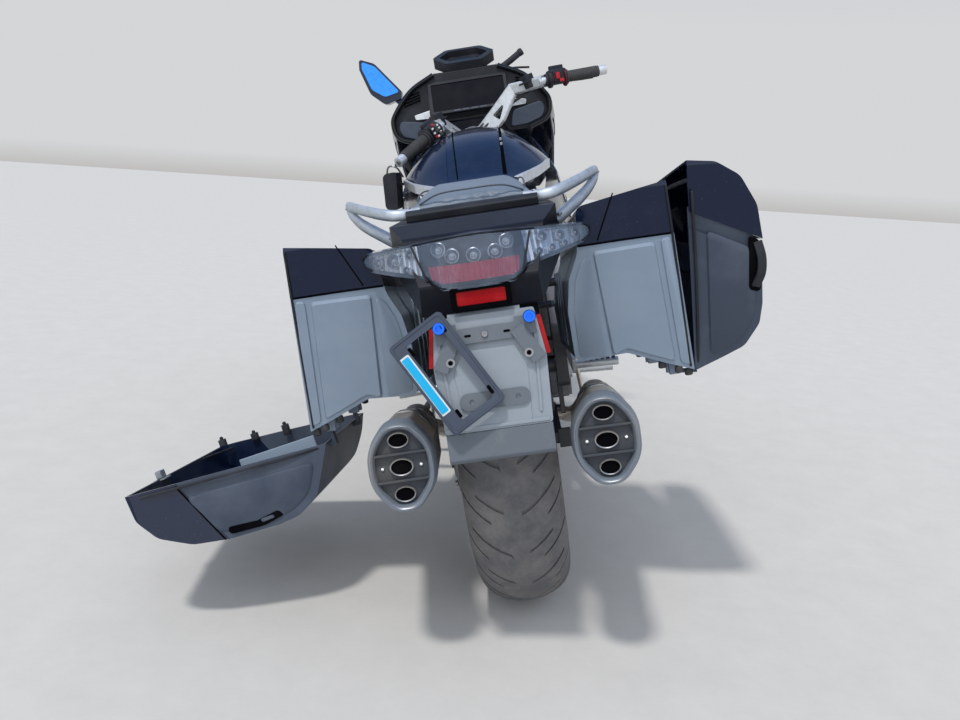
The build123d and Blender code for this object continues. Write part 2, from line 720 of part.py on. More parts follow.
def lens(grow):
    """Rear lamp: a swept three-part outline in (x, z) cut from a band that curves in plan and leans forward."""
    points = [
        (-200, 782), (-190, 798), (-95, 809), (0, 815), (95, 809), (190, 798), (200, 782),
        (184, 767), (82, 750), (58, 730), (-58, 730), (-82, 750), (-184, 767),
    ]
    outline = make_face(Plane.XZ * corners(points, [6, 6, 30, 200, 30, 6, 6, 12, 10, 10, 10, 10, 12]))
    if grow:
        outline = offset(outline, amount=grow)
    front = extrude(Pos(0, -480, 0) * outline, amount=260, dir=(0, 1, 0))
    band = lens_band(-grow, LENS_DEPTH + grow)
    return front & band


def lens_band(rear_step, front_step):
    z0 = 700
    rise = 140
    plane = Plane.XY.offset(z0)
    rear = ThreePointArc((-215, -262 + rear_step), (0, -424 + rear_step), (215, -262 + rear_step))
    front = ThreePointArc((215, -262 + front_step), (0, -424 + front_step), (-215, -262 + front_step))
    loop = rear + Line((215, -262 + rear_step), (215, -262 + front_step)) + front
    loop += Line((-215, -262 + front_step), (-215, -262 + rear_step))
    lean = math.radians(LENS_LEAN)
    return extrude(plane * make_face(loop), amount=rise / math.cos(lean), dir=(0, math.sin(lean), math.cos(lean)))


def tail_parts():
    side = [(-384, 688), (-396, 738), (-330, 815), (-250, COWL_TOP_Z), (330, COWL_TOP_Z), (330, 716), (-180, 690)]
    cowl = side_shape(side, [6, 10, 20, 20, 6, 6, 40], -200, 200)
    cowl &= rear_shape([(-92, 680), (92, 680), (148, 752), (148, 845), (-148, 845), (-148, 752)], [10, 10, 30, 10, 10, 30], -500, 400)
    cowl &= plan_shape([(-92, -410), (92, -410), (150, -240), (150, 340), (-150, 340), (-150, -240)], [30, 30, 60, 6, 6, 60], 600, 900)
    cowl -= lens(SEAT_GAP)
    cowl -= rails(SEAT_GAP) + arch_room()
    strip_side = [(-186, COWL_TOP_Z + SEAT_GAP), (-190, 850), (-178, 857), (-134, 857), (-134, COWL_TOP_Z + SEAT_GAP)]
    strip = side_shape(strip_side, [2, 4, 6, 4, 2], -122, 122)
    return {"tail_cowl": cowl, "tail_light": lens(0), "carrier_strip": strip}


def reflector():
    return box(-41, 41, -404, -380, 701, 726)


RAIL_TIP = (246, -40, 880)


def grab_rail():
    """Cast rail: from the carrier's end outward and forward to its tip, and back down to the cowl's side."""
    upper = tube([(122.8, -160, 849), (172, -160, 853), RAIL_TIP], 11, 40)
    lower = tube([RAIL_TIP, (218, -104, 842), (159, -144, 802)], 10, 30)
    return upper + lower + Pos(*RAIL_TIP) * Sphere(11)


FACE_TOP = Vector(0, -397, 688)
FACE_LOW = Vector(0, -428, 497)
FACE_UP = (FACE_TOP - FACE_LOW).normalized()
FACE_OUT = Vector(0, -FACE_UP.Z, FACE_UP.Y)
PLATE_T = 20


def on_face(x, z, out=0):
    """A plane on the plate holder's rear face at height z."""
    share = (z - FACE_LOW.Z) / (FACE_TOP.Z - FACE_LOW.Z)
    origin = FACE_LOW + (FACE_TOP - FACE_LOW) * share + Vector(x, 0, 0) + FACE_OUT * out
    return Plane(origin=origin, x_dir=(1, 0, 0), z_dir=FACE_OUT)


def plate_parts():
    outline = [(-82, 190), (82, 190), (93, 110), (89, 0), (-89, 0), (-93, 110)]
    face = on_face(0, 497) * make_face(corners(outline, [4, 4, 20, 6, 6, 20]))
    holder = extrude(face, amount=-PLATE_T)
    brace = side_shape([(-398, 600), (-385, 688), (-180, 688), (-180, 672), (-300, 655)], [4, 4, 4, 4, 30], -60, 60)
    holder += brace - arch_room()
    flap_side = [(-429, 496.6), (-436, 452), (-426, 444), (-404, 446), (-408, 493)]
    flap = side_shape(flap_side, [2, 6, 8, 4, 2], -88, 88)
    strip_face = on_face(0, 497, -2) * make_face(Polyline((93.2, 112), (100.5, 112), (91.5, 176), (84.4, 176), close=True))
    strip = extrude(strip_face, amount=-12)
    strips = [strip, mirrored(strip)]
    top_bar = on_face(4, 652, SEAT_GAP) * (Pos(0, 0, 4) * Box(112, 26, 8))
    bracket = fillet(top_bar.edges().filter_by(GeomType.LINE), 1)
    for side in (-1, 1):
        arm = on_face(side * 66, 628, SEAT_GAP) * (Rot(Z=side * 30) * Pos(0, 0, 6) * Box(24, 62, 12))
        bracket += arm
        boss = on_face(side * PLATE_BOLT_X, 670, SEAT_GAP) * (Pos(0, 0, 10) * Cylinder(9, 20))
        link = on_face(side * (PLATE_BOLT_X - 8), 658, SEAT_GAP) * (Pos(0, 0, 4) * Box(34, 30, 8))
        bracket += boss + link
    tab = on_face(0, 546, SEAT_GAP) * extrude(SlotOverall(116, 28), amount=6)
    for side in (-1, 1):
        tab -= on_face(side * 38, 546, -2) * (Pos(0, 0, 6) * Cylinder(4, 20))
    return {
        "plate_holder": holder,
        "mud_flap": flap,
        "reflectors": group(strips + [reflector()]),
        "plate_bracket": group([bracket, tab]),
        "plate_frame": plate_frame(),
    }


FRAME_PLATE_TURN = -60.5
FRAME_PLATE_W = 178
FRAME_PLATE_H = 104


def plate_frame():
    """Empty number plate frame that hangs from the left bolt by one corner."""
    plane = on_face(-70, 598, 20 + SEAT_GAP) * Rot(Z=FRAME_PLATE_TURN)
    outer = RectangleRounded(FRAME_PLATE_W, FRAME_PLATE_H, 8)
    inner = Pos(0, 5) * RectangleRounded(FRAME_PLATE_W - 30, FRAME_PLATE_H - 40, 4)
    return extrude(plane * (outer - inner), amount=6)


ARCH_R = REAR_R + 31
ARCH_T = 5
ARCH_HALF = 98


def arch_room():
    """The space that the inner arch and the tyre under it take up, with a seating gap."""
    return Pos(*REAR_AXLE) * ring(ARCH_R + SEAT_GAP, 0, -ARCH_HALF - SEAT_GAP, ARCH_HALF + SEAT_GAP)


def wheel_arch():
    """Plastic inner arch over the rear tyre."""
    arch = ring(ARCH_R, ARCH_R - ARCH_T, -ARCH_HALF, ARCH_HALF)
    keep = side_shape([(0, 0), (-520, 270), (-520, 520), (420, 520), (420, 60)], 0, -ARCH_HALF, ARCH_HALF)
    return Pos(*REAR_AXLE) * (arch & keep) - rails(SEAT_GAP)


# Nose, side fairings, belly, cockpit, screen carrier and mirror.
RADIATOR_X = 230


def radiator():
    """Radiator block ahead of the engine, hung from the frame's beams by two posts."""
    body = box(-RADIATOR_X, RADIATOR_X, 1234, 1262, 430, 640)
    for side in (-1, 1):
        post = side * 162
        body += box(post - 10, post + 10, 1240, 1256, 639, 759)
    return body


def nose_section(y, half, top, bottom, inset=0):
    w = half - inset
    t = top - inset
    b = bottom - (60 if inset else 0)
    h = top - bottom
    right = [(w * 0.72, b), (w * 0.96, bottom + h * 0.12), (w, bottom + h * 0.36), (w * 0.82, t - h * 0.33), (w * 0.44, t)]
    left = [(-x, z) for x, z in reversed(right)]
    return Plane.XZ.offset(-station(y)) * make_face(Polyline(*right, *left, close=True))


NOSE = [
    (1310, 284, 1262, 1037),
    (1400, 294, 1258, 968),
    (1520, 290, 1186, 860),
    (1670, 240, 1080, 800),
    (1780, 166, 990, 806),
    (1842, 86, 926, 836),
]
NOSE_WALL = 6


def nose_solid(inset=0):
    rows = [list(row) for row in NOSE]
    if inset:
        rows[0][0] -= 20
        rows[-1][0] -= inset
    return loft([nose_section(*row, inset) for row in rows], ruled=True)


def nose_parts():
    outer = nose_solid()
    shell = outer - nose_solid(NOSE_WALL)
    lamp_outline = [(-116, 850), (116, 850), (168, 905), (84, 962), (-84, 962), (-168, 905)]
    hole = rear_shape(lamp_outline, 12, 1640, 1900)
    shell -= hole
    shell -= box(-146, 146, 1290, 1352, 1090, 1300)
    lamp_body = rear_shape([(x * 0.99, 905 + (z - 905) * 0.985) for x, z in lamp_outline], 12, 1690, 1900) & outer
    return {"nose_fairing": shell, "headlamp": lamp_body}


FAIRING_T = 5

# Plan arcs of the side panel: height, then how far out it is at its rear, middle and front.
FAIRING_ROWS = [(300, 256, 282, 212), (640, 284, 297, 216), (880, 236, 262, 206), (1020, 176, 186, 176)]


def fairing_band(z, rear_x, middle_x, front_x):
    rear, middle, front = station(900), station(1240), station(1700)
    outer = ThreePointArc((rear_x, rear), (middle_x, middle), (front_x, front))
    inner = ThreePointArc((front_x - FAIRING_T, front), (middle_x - FAIRING_T, middle), (rear_x - FAIRING_T, rear))
    ends = Line((front_x, front), (front_x - FAIRING_T, front)) + Line((rear_x - FAIRING_T, rear), (rear_x, rear))
    return Plane.XY.offset(z) * make_face(outer + inner + ends)


def side_fairing():
    """Right side panel: a side outline cut from a wall that curves in plan and from top to bottom."""
    outline = [
        (930, 600), (948, 872), (1060, 930), (1180, 996), (1300, 1008), (1420, 940), (1500, 858), (1560, 812),
        (1650, 772), (1560, 640), (1440, 500), (1370, 350), (1150, 330), (1040, 420),
    ]
    body = side_shape(outline, [40, 30, 60, 60, 20, 60, 30, 30, 20, 60, 80, 40, 40, 60], 100, 400)
    panel = body & loft([fairing_band(*row) for row in FAIRING_ROWS], ruled=True)
    for step in range(3):
        y = 1010 + 62 * step
        gill = [(y, 560), (y + 26, 560), (y + 96, 712), (y + 70, 712)]
        panel -= side_shape(gill, 8, 100, 400)
    low, high = FAIRING_ROWS[0], FAIRING_ROWS[1]
    for z in (480, 600):
        reach = low[2] + (high[2] - low[2]) * (z - low[0]) / (high[0] - low[0])
        panel += rod((RADIATOR_X + SEAT_GAP, 1248, z), (reach - 3, 1248, z), 8)
    return panel


# Side cover below the seat: (y, z) outline, and the heights of its two pegs on the seat rail.
COVER_X = 124
COVER_T = 6


def side_cover():
    """Right side cover, held by two pegs on the seat rail."""
    outline = [(340, 640), (340, 757), (650, 757), (650, 668), (596, 588), (480, 562)]
    panel = side_shape(outline, [16, 10, 10, 30, 40, 30], COVER_X, COVER_X + COVER_T)
    raised = [(362, 660), (362, 738), (628, 738), (628, 676), (580, 610), (486, 590)]
    panel += side_shape(raised, [10, 8, 8, 24, 30, 24], COVER_X + COVER_T - 1, COVER_X + COVER_T + 5)
    for y in (420, 610):
        rail_z = 728 + (700 - y) * 8 / 320
        panel += rod((RAIL_X + RAIL_R + SEAT_GAP, y, rail_z), (COVER_X + 2, y, rail_z), 8)
    return panel


def belly_pan():
    sheet = [(980, 148), (1180, 150), (1262, 232), (1300, 420), (1284, 426), (1246, 242), (1172, 160), (980, 158)]
    pan = side_shape(sheet, [2, 40, 40, 2, 2, 36, 36, 2], -196, 196)
    wall = [(980, 150), (1180, 152), (1262, 234), (1298, 422), (1250, 420), (1200, 300), (1100, 240), (980, 200)]
    for side in (-1, 1):
        x0 = min(side * 192, side * 196)
        pan += side_shape(wall, [2, 40, 40, 2, 10, 30, 30, 2], x0, x0 + 4)
        post = side * 150
        pan += box(post - 10, post + 10, 985, 1005, 157, 218 - SEAT_GAP)
    return pan


DISPLAY_LOW = Vector(0, 1256, 1126)
DISPLAY_TOP = Vector(0, 1292, 1230)
DISPLAY_W = 268


def cockpit_parts():
    up = (DISPLAY_TOP - DISPLAY_LOW).normalized()
    out = Vector(0, -up.Z, up.Y)
    middle = placed_point((DISPLAY_LOW + DISPLAY_TOP) * 0.5)
    height = (DISPLAY_TOP - DISPLAY_LOW).length
    plane = Plane(origin=middle, x_dir=(1, 0, 0), z_dir=out)
    display = extrude(plane * RectangleRounded(DISPLAY_W, height, 6), amount=-16)
    back = Plane(origin=middle - out * (16 + SEAT_GAP), x_dir=(1, 0, 0), z_dir=out)
    housing = extrude(back * RectangleRounded(DISPLAY_W + 14, height + 10, 8), amount=-46)
    right = [(104, 1104), (118, 1039), (190, 1039), (262, 1068), (278, 1118), (230, 1186), (122, 1256)]
    wings = right + [(-x, z) for x, z in reversed(right)]
    radii = [8, 20, 20, 16, 16, 8, 8]
    wings_body = rear_shape(wings, radii + radii[::-1], 1296, 1310 - SEAT_GAP)
    wings_body -= extrude(plane * RectangleRounded(DISPLAY_W + 1, height + 1, 6), amount=-16 - SEAT_GAP)
    housing += wings_body
    low = side_shape([(1294, 1094), (1306, 1094), (1380, 980), (1372, 960), (1330, 968)], 4, -120, 120)
    housing += low
    pod = rear_shape([(-226, 946), (-264, 944), (-270, 842), (-236, 840), (-229, 900)], [8, 16, 16, 8, 20], 690, 850)
    pod += box(-232, -190, 760, 800, 906, 914) - tank(SEAT_GAP)
    return {"display": display, "cockpit": housing, "side_pod": pod}


POD_CENTRE = Vector(0, 1352, 1318)
POD_TILT = 26


def screen_bracket():
    """Bare screen carrier: a slotted plate, two posts and a six-sided dish."""
    plane = Plane(origin=placed_point(POD_CENTRE), x_dir=(1, 0, 0), z_dir=(0, -math.sin(math.radians(POD_TILT)), math.cos(math.radians(POD_TILT))))
    points = [(-110, 0), (-62, 70), (62, 70), (110, 0), (62, -70), (-62, -70)]
    body = extrude(plane * make_face(corners(points, 22)), amount=-34)
    inside = [(x * 0.78, y * 0.74) for x, y in points]
    body -= extrude(plane * make_face(corners(inside, 16)), amount=-22)
    for side in (-1, 1):
        body += rod((side * 52, 1374, 1250), (side * 52, 1374, 1306), 7)
    body += box(-116, 116, 1340, 1396, 1236, 1268)
    return body - nose_solid()


def mirror_parts():
    outline = [(-370, 1362), (-318, 1340), (-236, 1232), (-240, 1210), (-300, 1194), (-348, 1238), (-374, 1326)]
    housing = rear_shape(outline, [8, 40, 12, 8, 24, 40, 12], 1400, 1452)
    arm = tube([(-262, 1424, 1216), (-238, 1410, 1186), (-204, 1398, 1132)], 12, 20)
    housing += arm - nose_solid()
    inner = [(-362, 1352), (-318, 1330), (-244, 1232), (-298, 1222), (-340, 1252), (-364, 1326)]
    glass = rear_shape(inner, [6, 36, 6, 20, 30, 10], 1396, 1400 - SEAT_GAP)
    return {"mirror_left": housing, "mirror_glass": glass}


# Side cases, drawn closed in a frame of their own: x outward, v forward along the case, w up.
CASE_TILT = 8
CASE_PLANE = Plane(
    origin=(0, -152, 468),
    x_dir=(1, 0, 0),
    z_dir=(0, math.sin(math.radians(CASE_TILT)), math.cos(math.radians(CASE_TILT))),
)
CASE_WALL = 4
CASE_SLIP = 10
RIM_LOW = (382, 0)
RIM_HIGH = (345, 354)
RIM_HALF_GAP = 0.5
COVER_W = 262
COVER_GAP = 0.4
HINGE_X = 358
HINGE_W = -2
HINGE_PIN_R = 3
HINGE_BORE_R = 3.05
LID_OPEN_LEFT = 100.7
LID_OPEN_RIGHT = 5.5
COVER_LIFT = 28
CASE_PROFILE = [
    (183, 330), (178, 250), (158, 205), (150, 146), (155, 46), (254, 52), (330, 20), (382, 0),
    (433, 25), (473, 46), (497, 88), (499, 126), (490, 213), (474, 275), (440, 325), (395, 350), (345, 354),
]
CASE_PROFILE_R = [14, 60, 30, 60, 16, 20, 30, 6, 30, 30, 30, 40, 80, 50, 40, 30, 30]
CASE_SIDE = [(8, -20), (452, -20), (432, 200), (400, 364), (-142, 364)]
CASE_SIDE_R = [10, 60, 120, 60, 16]
CASE_PLAN = [(120, -160), (516, -160), (506, 60), (462, 452), (120, 452)]
CASE_PLAN_R = [10, 30, 200, 90, 30]


def case_total(inset):
    """The whole closed case as one solid, all its walls moved inward by the inset."""
    rear = make_face(Plane.XZ * corners(CASE_PROFILE, CASE_PROFILE_R))
    side = make_face(Plane.YZ * corners(CASE_SIDE, CASE_SIDE_R))
    plan = make_face(Plane.XY * corners(CASE_PLAN, CASE_PLAN_R))
    if inset:
        rear = offset(rear, amount=-inset)
        side = offset(side, amount=-inset)
        plan = offset(plan, amount=-inset)
    body = extrude(Pos(0, -200, 0) * rear, amount=700, dir=(0, 1, 0))
    body &= extrude(Pos(100, 0, 0) * side, amount=500, dir=(1, 0, 0))
    body &= extrude(Pos(0, 0, -60) * plan, amount=500, dir=(0, 0, 1))
    return body


def rim_point(share, out):
    """A point in (x, w) on the rim line, moved out from the body by a step."""
    dx = RIM_HIGH[0] - RIM_LOW[0]
    dw = RIM_HIGH[1] - RIM_LOW[1]
    length = math.hypot(dx, dw)
    return (RIM_LOW[0] + dx * share + out * dw / length, RIM_LOW[1] + dw * share - out * dx / length)


def split_block(points):
    return extrude(make_face(Plane.XZ.offset(200) * Polyline(*points, close=True)), amount=700, dir=(0, 1, 0))


def case_parts():
    shell = case_total(0) - case_total(CASE_WALL)
    low = rim_point(-0.3, -RIM_HALF_GAP)
    high = rim_point(1.3, -RIM_HALF_GAP)
    body = shell & split_block([(100, -150), low, high, (100, 600)])
    low = rim_point(-0.3, RIM_HALF_GAP)
    high = rim_point(1.3, RIM_HALF_GAP)
    lid = shell & split_block([(700, -150), low, high, (700, 600)])
    cover = body & split_block([(100, COVER_W + COVER_GAP), (700, COVER_W + COVER_GAP), (700, 600), (100, 600)])
    body = body & split_block([(100, -100), (700, -100), (700, COVER_W), (100, COVER_W)])
    slant_low = [(300, -100), (700, -100), (700, 208), (492, 214), (354, 268), (300, 268)]
    slant_high = [(300, 268 + COVER_GAP), (354, 268 + COVER_GAP), (492, 214 + COVER_GAP), (700, 208 + COVER_GAP), (700, 600), (300, 600)]
    lid_cover = lid & split_block(slant_high)
    lid = lid & split_block(slant_low)
    for v in (60, 320):
        for step in (-24, 12):
            lug = box(340, HINGE_X, v + step, v + step + 12, HINGE_W - 6, 16)
            lug += Pos(HINGE_X, v + step + 6, HINGE_W) * Rot(X=90) * Cylinder(6, 12)
            body += lug - case_total(CASE_WALL / 2)
        body += rod((HINGE_X, v - 20, HINGE_W), (HINGE_X, v + 20, HINGE_W), HINGE_PIN_R)
        arm = box(HINGE_X, 396, v - 11, v + 11, HINGE_W - 6, HINGE_W + 0.6)
        arm += box(386, 396, v - 11, v + 11, HINGE_W - 6, 14)
        arm += Pos(HINGE_X, v, HINGE_W) * Rot(X=90) * Cylinder(6, 22)
        arm -= rod((HINGE_X, v - 30, HINGE_W), (HINGE_X, v + 30, HINGE_W), HINGE_BORE_R)
        lid += arm - case_total(CASE_WALL / 2)
    return {"case_body": body, "case_cover": cover, "lid": lid, "lid_cover": lid_cover}


def cover_neck():
    """Inner wall of the lid's lower half that stands up into its loosened cover."""
    outside = split_block([(700, -150), rim_point(-0.3, RIM_HALF_GAP + 1), rim_point(1.3, RIM_HALF_GAP + 1), (700, 600)])
    upper = (case_total(CASE_WALL + 4) - case_total(CASE_WALL + 8)) & slant_band(-8, 36)
    lower = (case_total(CASE_WALL - 0.5) - case_total(CASE_WALL + 8)) & slant_band(-30, -4)
    return (upper + lower) & outside


def slant_band(low, high):
    """A band that follows the seam between the lid and its cover, from one step below it to one above."""
    return split_block([(300, 289 + low), (560, 187 + low), (560, 187 + high), (300, 289 + high)])


def hinge_axis(side):
    """The hinge line in the bike frame: a point on it and its direction."""
    point = (CASE_PLANE * Pos(side * HINGE_X, 190, HINGE_W)).position + Vector(0, 0, side * CASE_SLIP)
    return point, CASE_PLANE.y_dir


def all_case_parts():
    parts = case_parts()
    found = {}
    inside = CASE_PLANE * case_total(CASE_WALL / 2)
    for side, name in ((-1, "left"), (1, "right")):
        raise_it = Pos(0, 0, side * CASE_SLIP)
        studs = []
        for y, z, reach in RAIL_STUBS:
            stud = rod((reach + SEAT_GAP, y, z - side * CASE_SLIP), (182, y, z - side * CASE_SLIP), 8)
            studs.append(stud - inside)
        point, direction = hinge_axis(side)
        swing = LID_OPEN_LEFT if side < 0 else LID_OPEN_RIGHT
        axis = Axis(point, direction)
        for key, shape in parts.items():
            if side > 0 and key == "lid":
                shape = shape + cover_neck()
            if side > 0 and key == "lid_cover":
                shape = Pos(0, -COVER_LIFT / 4, COVER_LIFT) * shape
            if side < 0:
                shape = mirrored(shape)
            shape = raise_it * (CASE_PLANE * shape)
            if key == "case_body":
                for stud in studs:
                    shape += raise_it * (mirrored(stud) if side < 0 else stud)
            if key.startswith("lid"):
                found[key + "_" + name] = shape.rotate(axis, side * swing)
            else:
                found.setdefault(key, []).append(shape)
    for key in ("case_body", "case_cover"):
        found[key] = group(found[key])
    return found


# The whole machine, and how it stands.
CENTRE_SHIFT_X = 199.5
CENTRE_SHIFT_Y = -737.9
REAR_TORUS = (REAR_R - REAR_CROWN_R, REAR_CROWN_R)
FRONT_TORUS = (FRONT_R - FRONT_CROWN_R, FRONT_CROWN_R)


def lowest(place, centre, axis, torus):
    """Height of a tyre's lowest point, with its axle's centre and direction moved by the placing."""
    middle = (place * Pos(*centre)).position
    end = (place * Pos(*(Vector(*centre) + axis))).position
    slope = (end - middle).Z
    return middle.Z - torus[0] * math.sqrt(1 - slope * slope) - torus[1]


def steered_front():
    """Centre and axle direction of the front wheel with the steering turned."""
    hub = Pos(*FRONT_AXLE).position
    turn = Location((0, 0, 0))
    foot = Vector(0, STEER_FOOT_Y, 0)
    centre = rotate_about(hub, foot, STEER_DIR, STEER)
    direction = rotate_about(Vector(1, 0, 0), Vector(0, 0, 0), STEER_DIR, STEER)
    return centre, direction


def rotate_about(point, foot, direction, degrees):
    angle = math.radians(degrees)
    arm = point - foot
    along = direction * arm.dot(direction)
    across = arm - along
    return foot + along + across * math.cos(angle) + direction.cross(arm) * math.sin(angle)


def placing():
    """Lean to the left, then the pitch and lift that set both tyres on the ground."""
    centre, direction = steered_front()
    pitch = 0.0
    for _ in range(8):
        place = Rot(X=pitch) * Rot(Y=-LEAN)
        rear = lowest(place, REAR_AXLE, Vector(1, 0, 0), REAR_TORUS)
        front = lowest(place, (centre.X, centre.Y, centre.Z), direction, FRONT_TORUS)
        pitch -= math.degrees(math.atan2(front - rear, centre.Y))
    return Pos(CENTRE_SHIFT_X, CENTRE_SHIFT_Y, -rear) * Rot(X=pitch) * Rot(Y=-LEAN)


def build():
    place = placing()
    parts = {}
    parts.update(rear_wheel_parts())
    parts["swingarm"] = swingarm()
    parts["caliper_rear"] = caliper_rear()
    parts["frame"] = frame() + centre_stand_lugs()
    parts["engine"] = engine()
    parts.update(tail_parts())
    parts.update(plate_parts())
    parts["reflectors"] -= parts["tail_cowl"]
    parts["wheel_arch"] = wheel_arch()
    parts["mufflers"] = pair(muffler())
    parts["muffler_caps"] = pair(muffler_cap())
    parts["exhaust_pipes"] = exhaust_pipes()
    parts.update(all_case_parts())
    parts["grab_rails"] = pair(grab_rail())
    parts.update(seats())
    parts.update(tank_parts())
    parts.update(nose_parts())
    parts["side_fairings"] = pair(side_fairing())
    parts["side_covers"] = pair(side_cover())
    parts["belly_pan"] = belly_pan()
    parts.update(cockpit_parts())
    parts["screen_bracket"] = screen_bracket()
    parts.update(mirror_parts())
    parts["radiator"] = radiator()
    parts["peg_plates"] = pair(peg_plate())
    parts["centre_stand"] = centre_stand()
    turned = dict(steering_parts())
    turned.update(front_wheel_parts())
    for name, shape in turned.items():
        parts[name] = shape.rotate(STEER_AXIS, STEER)
    placed = {name: place * shape for name, shape in parts.items()}
    leg, pivot, axis = side_stand(place)
    placed["side_stand"] = leg
    placed["engine"] = placed["engine"] + stand_boss(place)
    return placed


if __name__ == "__main__":
    os.makedirs("parts", exist_ok=True)
    for name, shape in build().items():
        export_step(shape, "parts/" + name + ".step")
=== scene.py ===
import bmesh
import bpy
import json
import math
from mathutils import Euler, Matrix, Vector


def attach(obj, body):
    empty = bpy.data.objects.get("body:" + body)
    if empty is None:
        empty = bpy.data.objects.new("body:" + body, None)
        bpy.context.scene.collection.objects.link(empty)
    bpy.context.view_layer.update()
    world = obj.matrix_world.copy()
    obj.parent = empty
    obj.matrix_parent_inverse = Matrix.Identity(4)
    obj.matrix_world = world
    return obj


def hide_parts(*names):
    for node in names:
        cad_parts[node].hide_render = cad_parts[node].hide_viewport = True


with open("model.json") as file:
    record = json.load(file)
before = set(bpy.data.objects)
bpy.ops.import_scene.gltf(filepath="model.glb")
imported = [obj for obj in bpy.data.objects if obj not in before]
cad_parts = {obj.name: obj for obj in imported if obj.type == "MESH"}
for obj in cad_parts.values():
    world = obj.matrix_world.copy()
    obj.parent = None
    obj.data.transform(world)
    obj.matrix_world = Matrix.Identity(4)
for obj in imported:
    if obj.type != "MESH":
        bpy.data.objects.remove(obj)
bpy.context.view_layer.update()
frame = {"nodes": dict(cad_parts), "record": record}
NODES = frame["nodes"]

# Camera, fitted to the photograph: metres, degrees and pixels.
CAMERA_AT = (0.0592, -2.4867, 0.9042)
CAMERA_TURN = (77.183, -3.656, 0.921)
FOCAL_PX = 845.2
IMAGE_W_PX = 960
SENSOR_MM = 36.0

FLOOR_M = 60.0
FLOOR_COLOUR = (0.60, 0.59, 0.575)
WALL_COLOUR = (0.66, 0.67, 0.68)
SKY_HIGH = (0.20, 0.37, 0.76)
DIFFUSE_SKY = (0.50, 0.55, 0.63)
GROUND_GLOW = (0.50, 0.49, 0.48)
SUN_WAY = (0.22, 0.42, -0.88)
SUN_STRENGTH = 1.9
SUN_SIZE = 5.0
SUN_COLOUR = (1.0, 0.97, 0.92)
FILL_WAY = (0.12, 0.90, -0.40)
FILL_STRENGTH = 1.1
FILL_SIZE = 70.0
FILL_COLOUR = (0.94, 0.97, 1.0)

# The machine's own frame, in millimetres: x to its right, y forward, z up, drawn upright.
MM = 0.001
MACHINE_AT = (0.1995, -0.7379, 0.002845)
LEAN = 12.0
NOSE_DIP = 0.3022
STEER = 33.0
RAKE = 27.8
STEER_FOOT_Y = 1724.0
REAR_R = 320.0
REAR_W = 190.0
REAR_CROWN_R = 130.0
FRONT_R = 300.0
FRONT_W = 120.0
FRONT_CROWN_R = 75.0
WHEELBASE = 1618.0
RIM_R = 216.0


def shift(x, y, z):
    return Matrix.Translation((x, y, z))


def turn(degrees, axis):
    return Matrix.Rotation(math.radians(degrees), 4, axis)


def mirror(side):
    return Matrix.Diagonal((side, 1.0, 1.0, 1.0))


BIKE = shift(*MACHINE_AT) @ turn(-NOSE_DIP, "X") @ turn(-LEAN, "Y") @ Matrix.Scale(MM, 4)
STEM = Vector((0.0, -math.sin(math.radians(RAKE)), math.cos(math.radians(RAKE))))
STEERED = BIKE @ shift(0, STEER_FOOT_Y, 0) @ turn(STEER, STEM) @ shift(0, -STEER_FOOT_Y, 0)

# A side case's own frame: x outward, v forward along it, w up, and where its lid's hinge lies.
CASE_TILT = 8.0
CASE_SLIP = 10.0
HINGE_X = 358.0
HINGE_W = -2.0
LID_SWING = {-1: 100.7, 1: 5.5}
CASE_LOCAL = shift(0, -152, 468) @ turn(-CASE_TILT, "X")
FORWARD = Vector((0.0, math.cos(math.radians(CASE_TILT)), -math.sin(math.radians(CASE_TILT))))


def case_frame(side):
    return BIKE @ shift(0, 0, side * CASE_SLIP) @ CASE_LOCAL @ mirror(side)


def lid_frame(side):
    hinge = CASE_LOCAL @ Vector((side * HINGE_X, 190, HINGE_W)) + Vector((0, 0, side * CASE_SLIP))
    swing = shift(*hinge) @ turn(side * LID_SWING[side], FORWARD) @ shift(*-hinge)
    return BIKE @ swing @ shift(0, 0, side * CASE_SLIP) @ CASE_LOCAL @ mirror(side)


# Shader helpers.
DIRT = (0.05, 0.045, 0.04)


def new_material(name):
    material = bpy.data.materials.new(name)
    material.use_nodes = True
    tree = material.node_tree
    shader = tree.nodes["Principled BSDF"]
    return material, tree, shader


def add_node(tree, kind, **values):
    node = tree.nodes.new(kind)
    for key, value in values.items():
        setattr(node, key, value)
    return node


def feed(tree, node, values):
    """Gives a node its inputs: a socket is linked, anything else is a plain value."""
    for key, value in values.items():
        if isinstance(value, bpy.types.NodeSocket):
            tree.links.new(value, node.inputs[key])
        else:
            node.inputs[key].default_value = value


def coordinates(tree, scale=(1.0, 1.0, 1.0)):
    """Object coordinates, stretched along each axis."""
    source = add_node(tree, "ShaderNodeTexCoord")
    mapping = add_node(tree, "ShaderNodeMapping")
    feed(tree, mapping, {"Scale": scale, "Vector": source.outputs["Object"]})
    return mapping.outputs["Vector"]


def noise(tree, vector, scale, detail, rough):
    node = add_node(tree, "ShaderNodeTexNoise")
    feed(tree, node, {"Scale": scale, "Detail": detail, "Roughness": rough, "Vector": vector})
    return node.outputs["Fac"]


def remap(tree, value, low, high, to_low=0.0, to_high=1.0):
    node = add_node(tree, "ShaderNodeMapRange")
    feed(tree, node, {
        "Value": value, "From Min": low, "From Max": high, "To Min": to_low, "To Max": to_high,
    })
    return node.outputs["Result"]


def mix_colour(tree, factor, first, second):
    node = add_node(tree, "ShaderNodeMix", data_type="RGBA")
    tree.links.new(factor, node.inputs["Factor"])
    for key, value in (("A_Color", first), ("B_Color", second)):
        socket = next(item for item in node.inputs if item.identifier == key)
        if isinstance(value, tuple):
            socket.default_value = (*value, 1.0)
        else:
            tree.links.new(value, socket)
    return next(item for item in node.outputs if item.identifier == "Result_Color")


